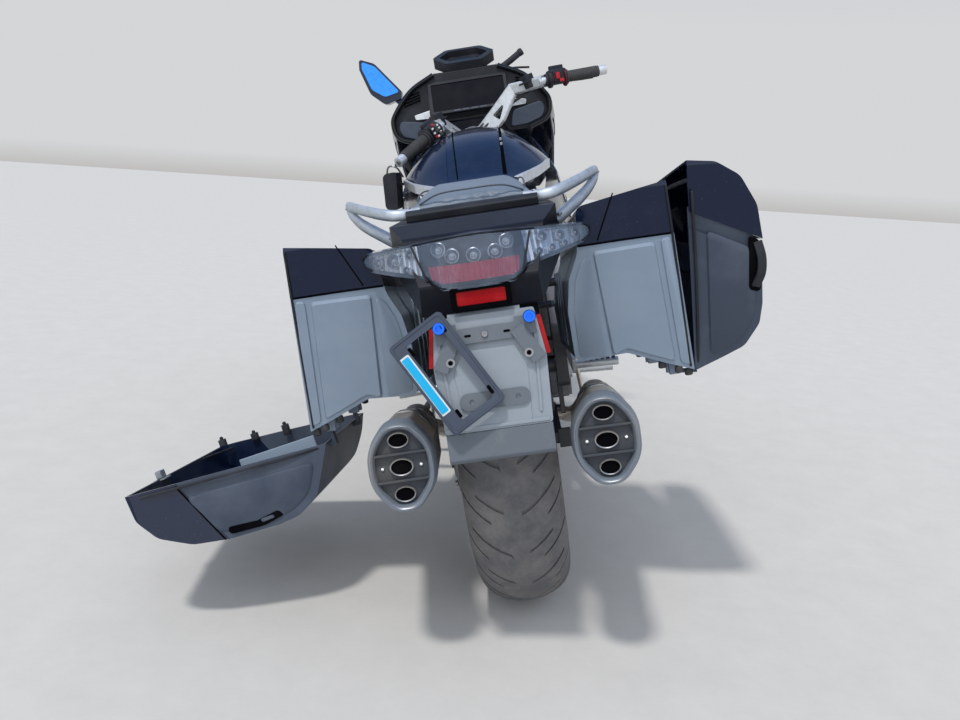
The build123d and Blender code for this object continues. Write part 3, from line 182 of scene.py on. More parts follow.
def bump(tree, shader, height, strength, distance):
    node = add_node(tree, "ShaderNodeBump")
    feed(tree, node, {"Strength": strength, "Distance": distance, "Height": height})
    feed(tree, shader, {"Normal": node.outputs["Normal"]})


def scale_colour(colour, share):
    return tuple(min(1.0, channel * share) for channel in colour)


def gloss_paint(name, colour, dust_colour, dust=0.10):
    """Deep gloss paint with dust specks and faint smears."""
    material, tree, shader = new_material(name)
    vector = coordinates(tree)
    specks = remap(tree, noise(tree, vector, 260.0, 2.0, 0.85), 0.70, 0.78, 0.0, 0.7)
    film = remap(tree, noise(tree, vector, 6.0, 7.0, 0.7), 0.48, 0.80, 0.0, dust)
    base = mix_colour(tree, film, colour, dust_colour)
    feed(tree, shader, {
        "Base Color": mix_colour(tree, specks, base, dust_colour),
        "Roughness": remap(tree, film, 0.0, dust, 0.14, 0.36),
        "Specular IOR Level": 0.16, "Coat Weight": 0.28, "Coat Roughness": 0.12,
    })
    return material


def plastic(name, colour, worn, roughness=0.5, gloss=0.3, grain=700.0):
    """Moulded plastic with a fine grain, rubbed patches and fine scratches."""
    material, tree, shader = new_material(name)
    vector = coordinates(tree)
    patches = remap(tree, noise(tree, vector, 9.0, 8.0, 0.6), 0.46, 0.74)
    streaks = noise(tree, coordinates(tree, (70.0, 9.0, 260.0)), 1.0, 3.0, 0.7)
    scratches = remap(tree, streaks, 0.73, 0.79, 0.0, 0.5)
    base = mix_colour(tree, patches, colour, worn)
    feed(tree, shader, {
        "Base Color": mix_colour(tree, scratches, base, scale_colour(worn, 2.4)),
        "Roughness": remap(tree, patches, 0.0, 1.0, roughness, roughness + 0.14),
        "Specular IOR Level": gloss,
    })
    bump(tree, shader, noise(tree, vector, grain, 2.0, 0.5), 0.22, 0.0005)
    return material


def metal(name, colour, roughness=0.35, metallic=0.9, stretch=(1.0, 1.0, 1.0), streak=90.0, dirt=DIRT):
    """Satin or brushed metal with streaks along one axis and a little dirt."""
    material, tree, shader = new_material(name)
    vector = coordinates(tree)
    lines = noise(tree, coordinates(tree, stretch), streak, 5.0, 0.6)
    grime = remap(tree, noise(tree, vector, 14.0, 7.0, 0.7), 0.54, 0.82, 0.0, 0.5)
    base = mix_colour(tree, remap(tree, lines, 0.35, 0.65), colour, scale_colour(colour, 1.2))
    feed(tree, shader, {
        "Base Color": mix_colour(tree, grime, base, dirt),
        "Roughness": remap(tree, lines, 0.3, 0.7, roughness - 0.06, roughness + 0.10),
        "Metallic": metallic,
    })
    return material


def rubber(name, colour, dusty):
    material, tree, shader = new_material(name)
    vector = coordinates(tree)
    dust = remap(tree, noise(tree, vector, 16.0, 8.0, 0.75), 0.40, 0.70)
    feed(tree, shader, {"Base Color": mix_colour(tree, dust, colour, dusty), "Roughness": 0.75})
    bump(tree, shader, noise(tree, vector, 260.0, 3.0, 0.6), 0.3, 0.001)
    return material


def leather(name, colour, faded):
    """Seat cover with a pebbled grain and faded patches."""
    material, tree, shader = new_material(name)
    vector = coordinates(tree)
    cells = add_node(tree, "ShaderNodeTexVoronoi")
    feed(tree, cells, {"Scale": 420.0, "Vector": vector})
    fade = remap(tree, noise(tree, vector, 9.0, 6.0, 0.6), 0.3, 0.85)
    feed(tree, shader, {"Base Color": mix_colour(tree, fade, colour, faded), "Roughness": 0.5})
    bump(tree, shader, cells.outputs["Distance"], 0.3, 0.0008)
    return material


def lens(name, colour, roughness, coat=0.6):
    """Coloured lens, closed, with a faint haze."""
    material, tree, shader = new_material(name)
    haze = remap(tree, noise(tree, coordinates(tree), 22.0, 5.0, 0.6), 0.4, 0.7)
    pale = tuple(min(1.0, channel * 1.25 + 0.01) for channel in colour)
    feed(tree, shader, {
        "Base Color": mix_colour(tree, haze, colour, pale),
        "Roughness": remap(tree, haze, 0.0, 1.0, roughness, roughness + 0.06),
        "Specular IOR Level": 0.5 * coat, "Coat Weight": coat,
    })
    return material


def smoked(name, colour, front_alpha, edge_alpha):
    """Clear tinted lens that closes up towards its edges."""
    material, tree, shader = new_material(name)
    haze = remap(tree, noise(tree, coordinates(tree), 26.0, 6.0, 0.7), 0.42, 0.72)
    rim = add_node(tree, "ShaderNodeLayerWeight")
    feed(tree, rim, {"Blend": 0.35})
    feed(tree, shader, {
        "Base Color": mix_colour(tree, haze, colour, scale_colour(colour, 2.0)),
        "Alpha": remap(tree, rim.outputs["Facing"], 0.0, 0.8, front_alpha, edge_alpha),
        "Roughness": 0.08, "Coat Weight": 0.7,
    })
    return material


# Looks: the kind, the name, and then what the kind's function asks for.
LOOKS = [
    (gloss_paint, "black_paint", (0.005, 0.011, 0.034), (0.14, 0.18, 0.25), 0.07),
    (gloss_paint, "gloss_black", (0.006, 0.007, 0.009), (0.10, 0.11, 0.12)),
    (plastic, "dark_plastic", (0.017, 0.019, 0.024), (0.036, 0.039, 0.046), 0.5, 0.2),
    (plastic, "case_plastic", (0.225, 0.285, 0.365), (0.255, 0.315, 0.390), 0.45),
    (plastic, "lid_plastic", (0.046, 0.060, 0.090), (0.076, 0.093, 0.125), 0.42),
    (plastic, "grey_plastic", (0.21, 0.235, 0.265), (0.27, 0.28, 0.29), 0.6),
    (plastic, "holder_plastic", (0.25, 0.285, 0.325), (0.30, 0.33, 0.365), 0.6),
    (plastic, "dusty_rubber", (0.12, 0.14, 0.165), (0.25, 0.245, 0.235), 0.8, 0.3, 300.0),
    (plastic, "cap_metal", (0.15, 0.18, 0.22), (0.22, 0.225, 0.235), 0.45),
    (plastic, "screen", (0.003, 0.003, 0.006), (0.006, 0.006, 0.009), 0.25, 0.08, 900.0),
    (plastic, "cyan_strip", (0.0, 0.36, 0.66), (0.02, 0.42, 0.72), 0.35),
    (plastic, "white_edge", (0.62, 0.64, 0.66), (0.68, 0.69, 0.70), 0.4),
    (plastic, "red_button", (0.42, 0.008, 0.02), (0.52, 0.03, 0.04), 0.35),
    (plastic, "tail_bulb", (0.46, 0.50, 0.56), (0.56, 0.58, 0.62), 0.2),
    (plastic, "tail_dark", (0.034, 0.040, 0.054), (0.06, 0.068, 0.085), 0.35),
    (plastic, "cap_dark", (0.040, 0.045, 0.055), (0.075, 0.075, 0.075), 0.5),
    # Near-black matte fill for holes, slots, grooves, seams and cavities: painted shade.
    (plastic, "black_hole", (0.003, 0.003, 0.004), (0.007, 0.007, 0.008), 0.8, 0.0),
    # Near-black, low-gloss cowl plastic: painted shade, as the cowl lies in the shade of the seat and
    # carrier; the lamp's seams take it too.
    (plastic, "cowl_plastic", (0.008, 0.009, 0.014), (0.016, 0.018, 0.024), 0.4, 0.12),
    (plastic, "bracket_plastic", (0.12, 0.14, 0.165), (0.16, 0.175, 0.195), 0.55),
    (metal, "dark_metal", (0.055, 0.057, 0.062), 0.42),
    (metal, "silver_metal", (0.56, 0.58, 0.60), 0.42, 0.6),
    (metal, "steel", (0.56, 0.50, 0.43), 0.30, 0.9, (1.0, 14.0, 1.0), 9.0),
    (metal, "bright_steel", (0.72, 0.72, 0.72), 0.18),
    (metal, "engine_metal", (0.22, 0.22, 0.225), 0.5),
    (metal, "frame_metal", (0.10, 0.10, 0.108), 0.45),
    (metal, "mirror", (0.035, 0.19, 0.60), 0.06, 1.0),
    (metal, "rail_metal", (0.40, 0.44, 0.48), 0.46, 0.55),
    (metal, "blue_anodised", (0.010, 0.13, 0.80), 0.30, 0.7),
    (metal, "tail_bowl", (0.34, 0.37, 0.42), 0.26, 0.9, (40.0, 1.0, 1.0), 6.0),
    (metal, "tail_silver", (0.74, 0.78, 0.84), 0.25, 0.9, (60.0, 1.0, 1.0), 8.0, (0.24, 0.26, 0.29)),
    (metal, "steel_dark", (0.24, 0.24, 0.25), 0.38, 0.8),
    (metal, "outlet_steel", (0.52, 0.50, 0.47), 0.34, 0.8),
    (rubber, "tyre_rubber", (0.086, 0.087, 0.093), (0.175, 0.165, 0.162)),
    (rubber, "grip_rubber", (0.030, 0.031, 0.033), (0.055, 0.055, 0.055)),
    (leather, "seat_cover", (0.125, 0.162, 0.215), (0.17, 0.21, 0.265)),
    (leather, "seat_seam", (0.05, 0.06, 0.08), (0.08, 0.09, 0.11)),
    (smoked, "smoked_lens", (0.09, 0.12, 0.17), 0.34, 0.92),
    (smoked, "lamp_glass", (0.30, 0.32, 0.35), 0.25, 0.85),
    (lens, "red_lens", (0.30, 0.003, 0.006), 0.25, 0.12),
    (lens, "red_dark", (0.40, 0.02, 0.035), 0.25),
]
MATERIALS = {name: kind(name, *values) for kind, name, *values in LOOKS}

# CAD nodes whose look isn't that of their slot.
SPECIAL = {
    "case_body": "case_plastic", "lid_left": "lid_plastic", "lid_right": "lid_plastic",
    "plate_holder": "holder_plastic", "mud_flap": "dusty_rubber", "plate_frame": "lid_plastic",
    "tail_cowl": "cowl_plastic", "plate_bracket": "bracket_plastic",
    "muffler_caps": "cap_metal", "headlamp": "lamp_glass",
}

# The slot of each look; a look that isn't listed is its own slot.
SLOTS = {
    "dark_plastic": ("tail_dark", "cowl_plastic", "black_hole", "holder_plastic", "cyan_strip",
                     "lid_plastic", "case_plastic", "red_button", "gloss_black"),
    "dark_metal": ("steel_dark", "cap_metal", "cap_dark"),
    "silver_metal": ("blue_anodised", "white_edge", "rail_metal"),
    "steel": ("tail_bowl", "tail_silver", "outlet_steel", "bright_steel"),
    "smoked_lens": ("tail_bulb",),
    "red_lens": ("red_dark",),
    "seat_cover": ("seat_seam",),
}
SLOT_OF = {look: slot for slot, looks in SLOTS.items() for look in looks}


def paint_all():
    for entry in frame["record"]["subparts"]:
        name = entry["node"]
        mesh = NODES[name].data
        mesh.materials.clear()
        mesh.materials.append(MATERIALS[SPECIAL.get(name, entry["material_slot"])])


# Mesh helpers. A form is a list of points in millimetres and a list of faces.
MERGE_M = 0.00002
BEVEL_ANGLE = 40


def skin(rows, caps=True, loop=False):
    """Rings of points joined row by row; the ends are closed, or joined to each other."""
    count = len(rows[0])
    points = [Vector(point) for row in rows for point in row]
    faces = []
    for row in range(len(rows) if loop else len(rows) - 1):
        low = row * count
        high = (low + count) % len(points)
        for column in range(count):
            beside = (column + 1) % count
            faces.append((low + column, low + beside, high + beside, high + column))
    if caps and not loop:
        faces.append(tuple(reversed(range(count))))
        faces.append(tuple(range(len(points) - count, len(points))))
    return points, faces


def join(*forms):
    points = []
    faces = []
    for form in forms:
        start = len(points)
        points += form[0]
        faces += [tuple(start + index for index in face) for face in form[1]]
    return points, faces


def placed(form, matrix):
    return [matrix @ point for point in form[0]], form[1]


def both(form):
    """The form and its mirror image on the other side of the machine."""
    return join(form, placed(form, mirror(-1)))


def prism(outline, low, high):
    return skin([[(x, y, low) for x, y in outline], [(x, y, high) for x, y in outline]])


def slab(corners, low, high, rounding=0.0):
    """A plate with rounded corners, given as (x, y) points, from one height to another."""
    return prism(rounded(corners, rounding) if rounding else corners, low, high)


def rounded(corners, radius, steps=4):
    """An outline whose corners are replaced by short arcs."""
    points = []
    count = len(corners)
    for index, corner in enumerate(corners):
        here = Vector(corner)
        before = Vector(corners[index - 1]) - here
        after = Vector(corners[(index + 1) % count]) - here
        reach = min(radius, before.length * 0.45, after.length * 0.45)
        start = here + before.normalized() * reach
        end = here + after.normalized() * reach
        for step in range(steps + 1):
            share = step / steps
            first = start.lerp(here, share)
            points.append(tuple(first.lerp(here.lerp(end, share), share)))
    return points


def rectangle(width, height, radius=0.0, at=(0, 0)):
    signs = ((-1, -1), (1, -1), (1, 1), (-1, 1))
    corners = [(at[0] + x * width / 2, at[1] + y * height / 2) for x, y in signs]
    return rounded(corners, radius) if radius else corners


def oval(width, height, sides=28, at=(0, 0)):
    steps = [2 * math.pi * index / sides for index in range(sides)]
    return [(at[0] + math.cos(step) * width / 2, at[1] + math.sin(step) * height / 2) for step in steps]


def rows_of(outlines, heights):
    return [[(x, y, height) for x, y in outline] for outline, height in zip(outlines, heights)]


def block(size, radius=0.0):
    """A box about its own centre."""
    return prism(rectangle(size[0], size[1], radius), -size[2] / 2, size[2] / 2)


def ring(row):
    """A closed row about the z axis, from one (radius, height) pair for each side."""
    steps = [2 * math.pi * index / len(row) for index in range(len(row))]
    return [(math.cos(step) * r, math.sin(step) * r, z) for step, (r, z) in zip(steps, row)]


def turned(profile, sides=28):
    """A shape turned about its z axis, from (radius, height) pairs."""
    return skin([ring([pair] * sides) for pair in profile])


def socket_bolt(radius, height):
    """A round bolt head with a six-sided socket, standing on z = 0."""
    sides = 24
    rows = []
    for share, z in ((0.98, 0), (1.0, height * 0.7), (0.86, height)):
        rows.append([(share * radius, z)] * sides)
    for z in (height, height * 0.35):
        row = []
        for index in range(sides):
            part = (index * 360 / sides) % 60 - 30
            row.append((0.50 * radius / math.cos(math.radians(part)), z))
        rows.append(row)
    return skin([ring(row) for row in rows])


def curve_points(points, steps=6):
    """A smooth line through the given points."""
    line = [Vector(point) for point in points]
    if steps < 2:
        return line
    ends = [line[0] * 2 - line[1]] + line + [line[-1] * 2 - line[-2]]
    found = []
    for index in range(1, len(ends) - 2):
        a, b, c, d = ends[index - 1:index + 3]
        for step in range(steps):
            t = step / steps
            square = (2 * a - 5 * b + 4 * c - d) * t ** 2
            cube = (3 * b - a - 3 * c + d) * t ** 3
            found.append(0.5 * (2 * b + (c - a) * t + square + cube))
    return found + [line[-1]]


def sweep(points, section, steps=6, up=(0, 0, 1), scale=None):
    """A section, as (across, above) pairs, carried along a smooth line."""
    line = curve_points(points, steps)
    rows = []
    for index, point in enumerate(line):
        ahead = (line[min(index + 1, len(line) - 1)] - line[max(index - 1, 0)]).normalized()
        across = ahead.cross(Vector(up)).normalized()
        above = across.cross(ahead).normalized()
        size = scale(index / (len(line) - 1)) if scale else 1.0
        rows.append([point + across * x * size + above * y * size for x, y in section])
    return skin(rows)


def tube(points, radius, sides=10, steps=6, up=(0.13, 0.21, 0.97)):
    return sweep(points, oval(2 * radius, 2 * radius, sides), steps, up)


def along(start, end, x_hint=(1, 0, 0)):
    """A frame whose z axis runs from start towards end."""
    z = (Vector(end) - Vector(start)).normalized()
    x = (Vector(x_hint) - z * Vector(x_hint).dot(z)).normalized()
    return frame_of(start, x, z.cross(x), z)


def frame_of(origin, x, y, z):
    return Matrix.Translation(origin) @ Matrix((x, y, z)).transposed().to_4x4()


def outward(side, x, y, z):
    """A frame on one side of the machine whose z axis points away from it."""
    return shift(side * x, y, z) @ turn(side * 90, "Y")


def upright(outline, low, high, rounding):
    """A plate across the machine, from (x, z) points, between two distances forward."""
    return placed(slab([(x, -z) for x, z in outline], low, high, rounding), turn(-90, "X"))


def boxes(size, radius, spots, at=Matrix.Identity(4)):
    """The same box at several places."""
    return join(*[placed(block(size, radius), at @ shift(*spot)) for spot in spots])


def bolts(radius, height, places):
    """The same bolt head on several frames."""
    return join(*[placed(socket_bolt(radius, height), place) for place in places])


def side_bolts(radius, height, x, spots):
    """The same bolts on both sides, at (y, z) places."""
    return bolts(radius, height, [outward(side, x, y, z) for side in (-1, 1) for y, z in spots])


def piece(name, form, material, body="main", matrix=BIKE, bevel=0.0, angle=35.0, slot=None):
    """A mesh object made from a form, in metres, that rides on a body."""
    slot = slot or SLOT_OF.get(material, material)
    mesh = bpy.data.meshes.new(name)
    mesh.from_pydata([matrix @ point for point in form[0]], [], form[1])
    work = bmesh.new()
    work.from_mesh(mesh)
    bmesh.ops.remove_doubles(work, verts=work.verts, dist=MERGE_M)
    bmesh.ops.recalc_face_normals(work, faces=work.faces)
    work.to_mesh(mesh)
    work.free()
    thing = bpy.data.objects.new(name, mesh)
    bpy.context.scene.collection.objects.link(thing)
    if bevel:
        modifier = thing.modifiers.new("bevel", "BEVEL")
        modifier.width = bevel * MM
        modifier.segments = 2
        modifier.limit_method = "ANGLE"
        modifier.angle_limit = math.radians(BEVEL_ANGLE)
    mesh.shade_smooth()
    mesh.set_sharp_from_angle(angle=math.radians(angle))
    mesh.materials.append(MATERIALS[material])
    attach(thing, body)
    return thing


# Rear lamp: smoked lens with bowls, diodes and a ribbed red band inside.
LENS_RADIUS = 223.7
LENS_MID_Y = -200.3
LENS_FOOT_Z = 700.0
LENS_SLOPE = math.tan(math.radians(22.0))
DIODES = [(-59, 793), (-37.6, 781), (-2.5, 778.5), (33, 779.5), (53, 792.5)]
LENS_HIGH = [(-199, 784), (-190, 795), (-95, 806), (0, 812), (95, 806), (190, 795), (199, 784)]
LENS_LOW = [(-199, 781), (-184, 770), (-82, 753), (-58, 733), (58, 733), (82, 753), (184, 770), (199, 781)]
RIGHT_BULBS = [(112, 789, 9), (143, 786, 9), (171, 784, 8), (104, 767, 7), (127, 769, 7), (150, 771, 6)]
LEFT_BULBS = [(-168, 780, 9), (-138, 782, 13), (-116, 766, 7), (-108, 790, 8)]
REFLECTOR_MID = (1, 713.5)


def on_lens(x, z, depth):
    y = LENS_MID_Y - math.sqrt(LENS_RADIUS ** 2 - x * x) + (z - LENS_FOOT_Z) * LENS_SLOPE
    return Vector((x, y + depth, z))


def height_at(line, x):
    """Height at x on a line of (x, z) points."""
    for low, high in zip(line, line[1:]):
        if low[0] <= x <= high[0]:
            return low[1] + (high[1] - low[1]) * (x - low[0]) / (high[0] - low[0])
    return line[-1][1]


def lens_sheet(x0, x1, depth, thick, ribs=0.0, pitch=8.0, low=LENS_LOW, high=LENS_HIGH, slant=0.0,
               columns=40):
    """A curved plate in the lamp between two heights, with upright ribs; slant leans its ends."""
    rows = []
    for column in range(columns + 1):
        share = column / columns
        x = x0 + (x1 - x0) * share
        wave = ribs * (0.5 + 0.5 * math.cos(2 * math.pi * x / pitch))
        bottom = height_at(low, x)
        top = height_at(high, x)
        lean = slant * (2 * share - 1)
        row = [on_lens(x, bottom, depth + wave)]
        for step in range(1, 5):
            row.append(on_lens(x + lean * step / 4, bottom + (top - bottom) * step / 4, depth + wave))
        row.append(on_lens(x + lean, top, depth + thick))
        row.append(on_lens(x, bottom, depth + thick))
        rows.append(row)
    return skin(rows)


def lens_frame(x, z, depth):
    """A frame on the lamp that looks rearward."""
    spot = on_lens(x, z, depth)
    rearward = Vector((x * 0.6, -LENS_RADIUS, LENS_RADIUS * LENS_SLOPE * 0.6))
    return along(spot, spot + rearward)


def bowl(radius):
    outside = [(radius, -4), (radius, 3), (radius - 1.8, 3.6)]
    inside = [(radius * 0.72, -1.5), (radius * 0.42, -4.5), (0.2, -5)]
    return turned(outside + inside, 24)


def bulb(radius):
    dome = [(radius * 0.8, radius * 0.6), (radius * 0.4, radius * 0.95), (0.1, radius)]
    return turned([(radius, -5), (radius, -1)] + dome, 16)


def tail_lamp():
    bowls = [placed(bowl(12.5), lens_frame(x, z, 14)) for x, z in DIODES]
    bulbs = [placed(bulb(4.5), lens_frame(x, z, 15)) for x, z in DIODES]
    for x, z, radius in RIGHT_BULBS + LEFT_BULBS:
        bowls.append(placed(bowl(radius), lens_frame(x, z, 15)))
        bulbs.append(placed(bulb(radius * 0.36), lens_frame(x, z, 16)))
    piece("tail_bowls", join(*bowls), "tail_bowl")
    piece("tail_bulbs", join(*bulbs), "tail_bulb")
    piece("tail_housing", lens_sheet(-198, 198, 29, 6), "tail_dark")
    centre = lens_sheet(-82, 74, 21, 3, low=[(-82, 755), (-58, 735), (58, 735), (82, 755)], slant=14)
    piece("tail_centre_plate", centre, "tail_dark")
    left = lens_sheet(-193, -92, 19, 3, 2.0, 9.0, slant=-4)
    right = lens_sheet(84, 193, 19, 3, 2.0, 9.0, slant=4)
    piece("tail_side_reflectors", join(left, right), "tail_silver")
    red_low = [(-80, 750), (-58, 740), (58, 740), (80, 750)]
    red_high = [(-80, 768), (80, 768)]
    band = lens_sheet(-76, 68, 10, 4, 2.2, 6.0, red_low, red_high, 3.0, 160)
    piece("tail_red_band", band, "red_dark")
    # The lamp's seams take the cowl's near-black plastic.
    seams = []
    for low, high in (((-82, 747), (-104, 806)), ((74, 744), (93, 803))):
        line = [on_lens(*Vector(low).lerp(Vector(high), step / 6), -0.6) for step in range(7)]
        seams.append(sweep(line, rectangle(3.4, 2.6), 1, (0, -1, 0.4)))
    outline = LENS_HIGH + LENS_LOW[::-1]
    edge = [on_lens(x, z, 0.8) for x, z in outline + outline[:1]]
    seams.append(sweep(edge, rectangle(3.2, 4.4, 1), 2, (0, -1, 0.4)))
    piece("tail_seams", join(*seams), "cowl_plastic")
    # The near-black frame round the reflector is painted shade.
    outer = rectangle(98, 37, 5, REFLECTOR_MID)
    inner = rectangle(80, 23, 3, REFLECTOR_MID)
    rows = rows_of([outer, outer, inner, inner], [374, 409, 409, 400])
    bezel = placed(skin(rows, loop=True), turn(90, "X"))
    piece("reflector_bezel", bezel, "black_hole", bevel=1.2)


# Plate holder: bolts, screws, raised panel, and the empty frame's strip, bead and slots.
FACE_TOP = Vector((0, -397, 688))
FACE_LOW = Vector((0, -428, 497))
FACE_UP = (FACE_TOP - FACE_LOW).normalized()
FACE_OUT = Vector((0, -FACE_UP.z, FACE_UP.y))
PLATE_TURN = -60.5
PLATE_X = -70
PLATE_Z = 598
PLATE_EYES = [(-63, 613), (65, 613)]


def on_face(x, z, out=0.0):
    share = (z - FACE_LOW.z) / (FACE_TOP.z - FACE_LOW.z)
    origin = FACE_LOW.lerp(FACE_TOP, share) + Vector((x, 0, 0)) + FACE_OUT * out
    return frame_of(origin, Vector((1, 0, 0)), FACE_UP, FACE_OUT)


def plate_details():
    heads = bolts(10.5, 9, [on_face(side * 73, 670, 19) for side in (-1, 1)])
    piece("plate_bolts", heads, "blue_anodised")
    screws = bolts(5.5, 4, [on_face(x, z, 8.2) for x, z in ((-47, 650), (51, 650), (-2, 652))])
    washer = turned([(7.5, 0), (7.5, 1.6), (4.2, 1.6), (4.0, 0.2)], 20)
    washers = [placed(washer, on_face(x, z, 12.2)) for x, z in PLATE_EYES]
    piece("plate_screws", join(screws, *washers), "steel_dark")
    # The eye holes and the screw slots are near-black pads: painted shade.
    holes = [placed(turned([(4.0, 0), (3.9, 0.6)], 16), on_face(x, z, 12.1)) for x, z in PLATE_EYES]
    holes += [placed(slab(rectangle(11, 4, 1.9), 0, 0.7), on_face(x, 652, 8.1)) for x in (-30, 34)]
    piece("plate_holes", join(*holes), "black_hole")
    panel = [(-50, 6), (56, 6), (60, 96), (44, 132), (-44, 132), (-62, 96)]
    parts = [placed(slab(panel, -1, 1.6, 8), on_face(0, 497))]
    parts.append(placed(slab([(-84, -3), (84, -3), (86, 3), (-86, 3)], -1, 3, 2), on_face(0, 503)))
    rib = slab(rectangle(5, 150, 2), -1, 3)
    parts += [placed(rib, on_face(side * 76, 590) @ turn(side * -3.0, "Z")) for side in (-1, 1)]
    piece("plate_panel", join(*parts), "holder_plastic", bevel=0.8)
    strip_frame = on_face(PLATE_X, PLATE_Z, 26.2) @ turn(PLATE_TURN, "Z")
    edge = placed(slab(rectangle(114, 18, 3, (-6, -39.5)), 0, 0.8), strip_frame)
    strip = placed(slab(rectangle(108, 13, 2, (-6, -39.5)), 0, 1.3), strip_frame)
    piece("plate_strip_edge", edge, "white_edge")
    piece("plate_strip", strip, "cyan_strip")
    rim = rectangle(174, 100, 8)
    inner = rectangle(168, 94, 7)
    bead = placed(skin(rows_of([rim, rim, inner, inner], [-0.5, 1.6, 1.6, -0.5]), loop=True), strip_frame)
    piece("plate_frame_bead", bead, "lid_plastic", bevel=0.5)
    # The frame's slots are near-black pads: painted shade.
    spots = [(x, y) for x in (-62, 62) for y in (40, -24)]
    slots = [placed(slab(rectangle(16, 6, 2.8, spot), 0, 0.5), strip_frame) for spot in spots]
    piece("plate_frame_slots", join(*slots), "black_hole")


# Mufflers: end caps with a rounded rim, a dark floor, two ribs and three oval outlets.
MUFFLER_REAR = Vector((173, -412, 447))
MUFFLER_FRONT = Vector((215, 210, 330))
MUFFLER_W = 112.0
MUFFLER_H = 152.0
OUTLET_STEP = 46.0
FLOOR_STEPS = [(0.815, 0.835, -22), (0.815, 0.835, -18), (0.60, 0.65, -16.5)]
BAND_PLACES = [(250, 0.985), (262, 0.985), (600, 0.80)]
# The cap's section from its foot over the rim into the recess: width and height shares, and depth.
CAP_STEPS = [
    (0.94, 0.95, -57.5), (1.06, 1.045, -57.5), (1.065, 1.05, -52), (1.02, 1.01, -14), (0.98, 0.98, -3),
    (0.95, 0.955, 0), (0.90, 0.915, 0.2), (0.86, 0.875, -1.5), (0.82, 0.845, -7), (0.80, 0.825, -17),
    (0.79, 0.82, -30),
]


def eight_sides(width, height, radius=26.0):
    w = width / 2
    h = height / 2
    right = [(w * 0.36, h), (w, h * 0.42), (w, -h * 0.42), (w * 0.36, -h)]
    corners = [(-w * 0.36, h)] + right + [(-w * 0.36, -h), (-w, -h * 0.42), (-w, h * 0.42)]
    return rounded(corners, radius, 6)


def cap_rows(steps):
    return rows_of([eight_sides(MUFFLER_W * wide, MUFFLER_H * wide_h) for wide, wide_h, height in steps],
                   [height for wide, wide_h, height in steps])


def muffler_details():
    rear = along(MUFFLER_REAR, MUFFLER_REAR * 2 - MUFFLER_FRONT)
    caps = placed(skin(cap_rows(CAP_STEPS), caps=False), rear)
    cap = piece("muffler_end_caps", both(caps), "cap_metal", angle=28)
    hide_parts("muffler_caps")
    lip_steps = [(0.925, 0.935, 0.0), (0.905, 0.918, 1.0), (0.885, 0.90, 0.2), (0.905, 0.918, -1)]
    lip = placed(skin(cap_rows(lip_steps), loop=True), rear)
    piece("muffler_rims", both(lip), "steel_dark", angle=60, slot="steel")
    floor = placed(skin(cap_rows(FLOOR_STEPS)), rear)
    ribs = []
    for step in (-23, 23):
        rib = slab([(-45, -2.2), (45, -2.2), (45, 2.2), (-45, 2.2)], -18, -5, 1.5)
        ribs.append(placed(rib, rear @ shift(0, step, 0)))
    piece("muffler_floors", both(join(floor, *ribs)), "cap_dark", bevel=0.8)
    rims = []
    wells = []
    for step, size in ((OUTLET_STEP, 1.0), (0, 1.12), (-OUTLET_STEP, 1.0)):
        outlines = [oval((37 + grow) * size, (27 + grow) * size) for grow in (0, 0, -2.0, -4.5, -5)]
        at = rear @ shift(0, step, 0)
        rims.append(placed(skin(rows_of(outlines, [-18, -7.4, -5.8, -7.0, -40]), caps=False), at))
        wall = oval(32.4 * size, 22.4 * size)
        wells.append(placed(skin(rows_of([wall, wall, oval(31 * size, 21 * size)], [-30, -11, -12])), at))
    piece("muffler_outlets", both(join(*rims)), "outlet_steel")
    # The wells inside the outlets are near-black: painted shade.
    piece("muffler_wells", both(join(*wells)), "black_hole", slot="dark_metal")
    rivet = turned([(3.4, -18), (3.4, -14), (2.4, -12.6), (0.2, -12.2)], 14)
    rivets = [placed(rivet, rear @ shift(x, 0, 0)) for x in (-33, 33)]
    piece("muffler_rivets", both(join(*rivets)), "bright_steel")
    ahead = (MUFFLER_FRONT - MUFFLER_REAR).normalized()
    bands = []
    for distance, size in BAND_PLACES:
        at = along(MUFFLER_REAR + ahead * distance, MUFFLER_REAR + ahead * (distance - 1))
        outline = eight_sides(MUFFLER_W * size + 3, MUFFLER_H * size + 3)
        bands.append(placed(skin(rows_of([outline, outline], [-3, 3])), at))
    piece("muffler_bands", both(join(*bands)), "steel_dark", bevel=1, slot="steel")


# Tyres: grooves are pressed into a skin whose columns follow them.
TREAD_DEPTH = 4.5
TREAD_PITCH = 14
PROFILE_STEPS = 30
BEAD_INSET = 14
REAR_GROOVES = [(0.10, 8, 14, 92), (0.42, 6, 46, 108), (0.62, 7, 22, 70), (0.86, 5, 66, 112)]
FRONT_GROOVES = [(0.12, 7, 10, 60), (0.50, 5, 32, 72), (0.74, 6, 16, 48)]


def tyre_profile(radius, width, crown_r, crown_half, steps):
    """Points (arc from the middle, x, r) from the crown's middle to the bead, with an even pitch."""
    half = width / 2
    centre = radius - crown_r
    sine = crown_half / crown_r
    cosine = math.sqrt(1 - sine * sine)
    shoulder_r = (half - crown_half) / (1 - sine)
    middle = (crown_half - shoulder_r * sine, centre + crown_r * cosine - shoulder_r * cosine)
    start = math.asin(sine)
    crown_length = start * crown_r
    shoulder_length = (math.pi / 2 - start) * shoulder_r
    total = crown_length + shoulder_length
    points = []
    for step in range(steps + 1):
        arc = total * step / steps
        if arc < crown_length:
            angle = arc / crown_r
            points.append((arc, math.sin(angle) * crown_r, centre + math.cos(angle) * crown_r))
        else:
            angle = start + (arc - crown_length) / shoulder_r
            x = middle[0] + math.sin(angle) * shoulder_r
            points.append((arc, x, middle[1] + math.cos(angle) * shoulder_r))
    bead = half - BEAD_INSET
    wall = [(10, half - 3, middle[1] - 16), (20, half - 8, RIM_R + 17)]
    foot = [(28, bead, RIM_R + 12), (32, bead, RIM_R + 1)]
    return points + [(total + further, x, r) for further, x, r in wall + foot]


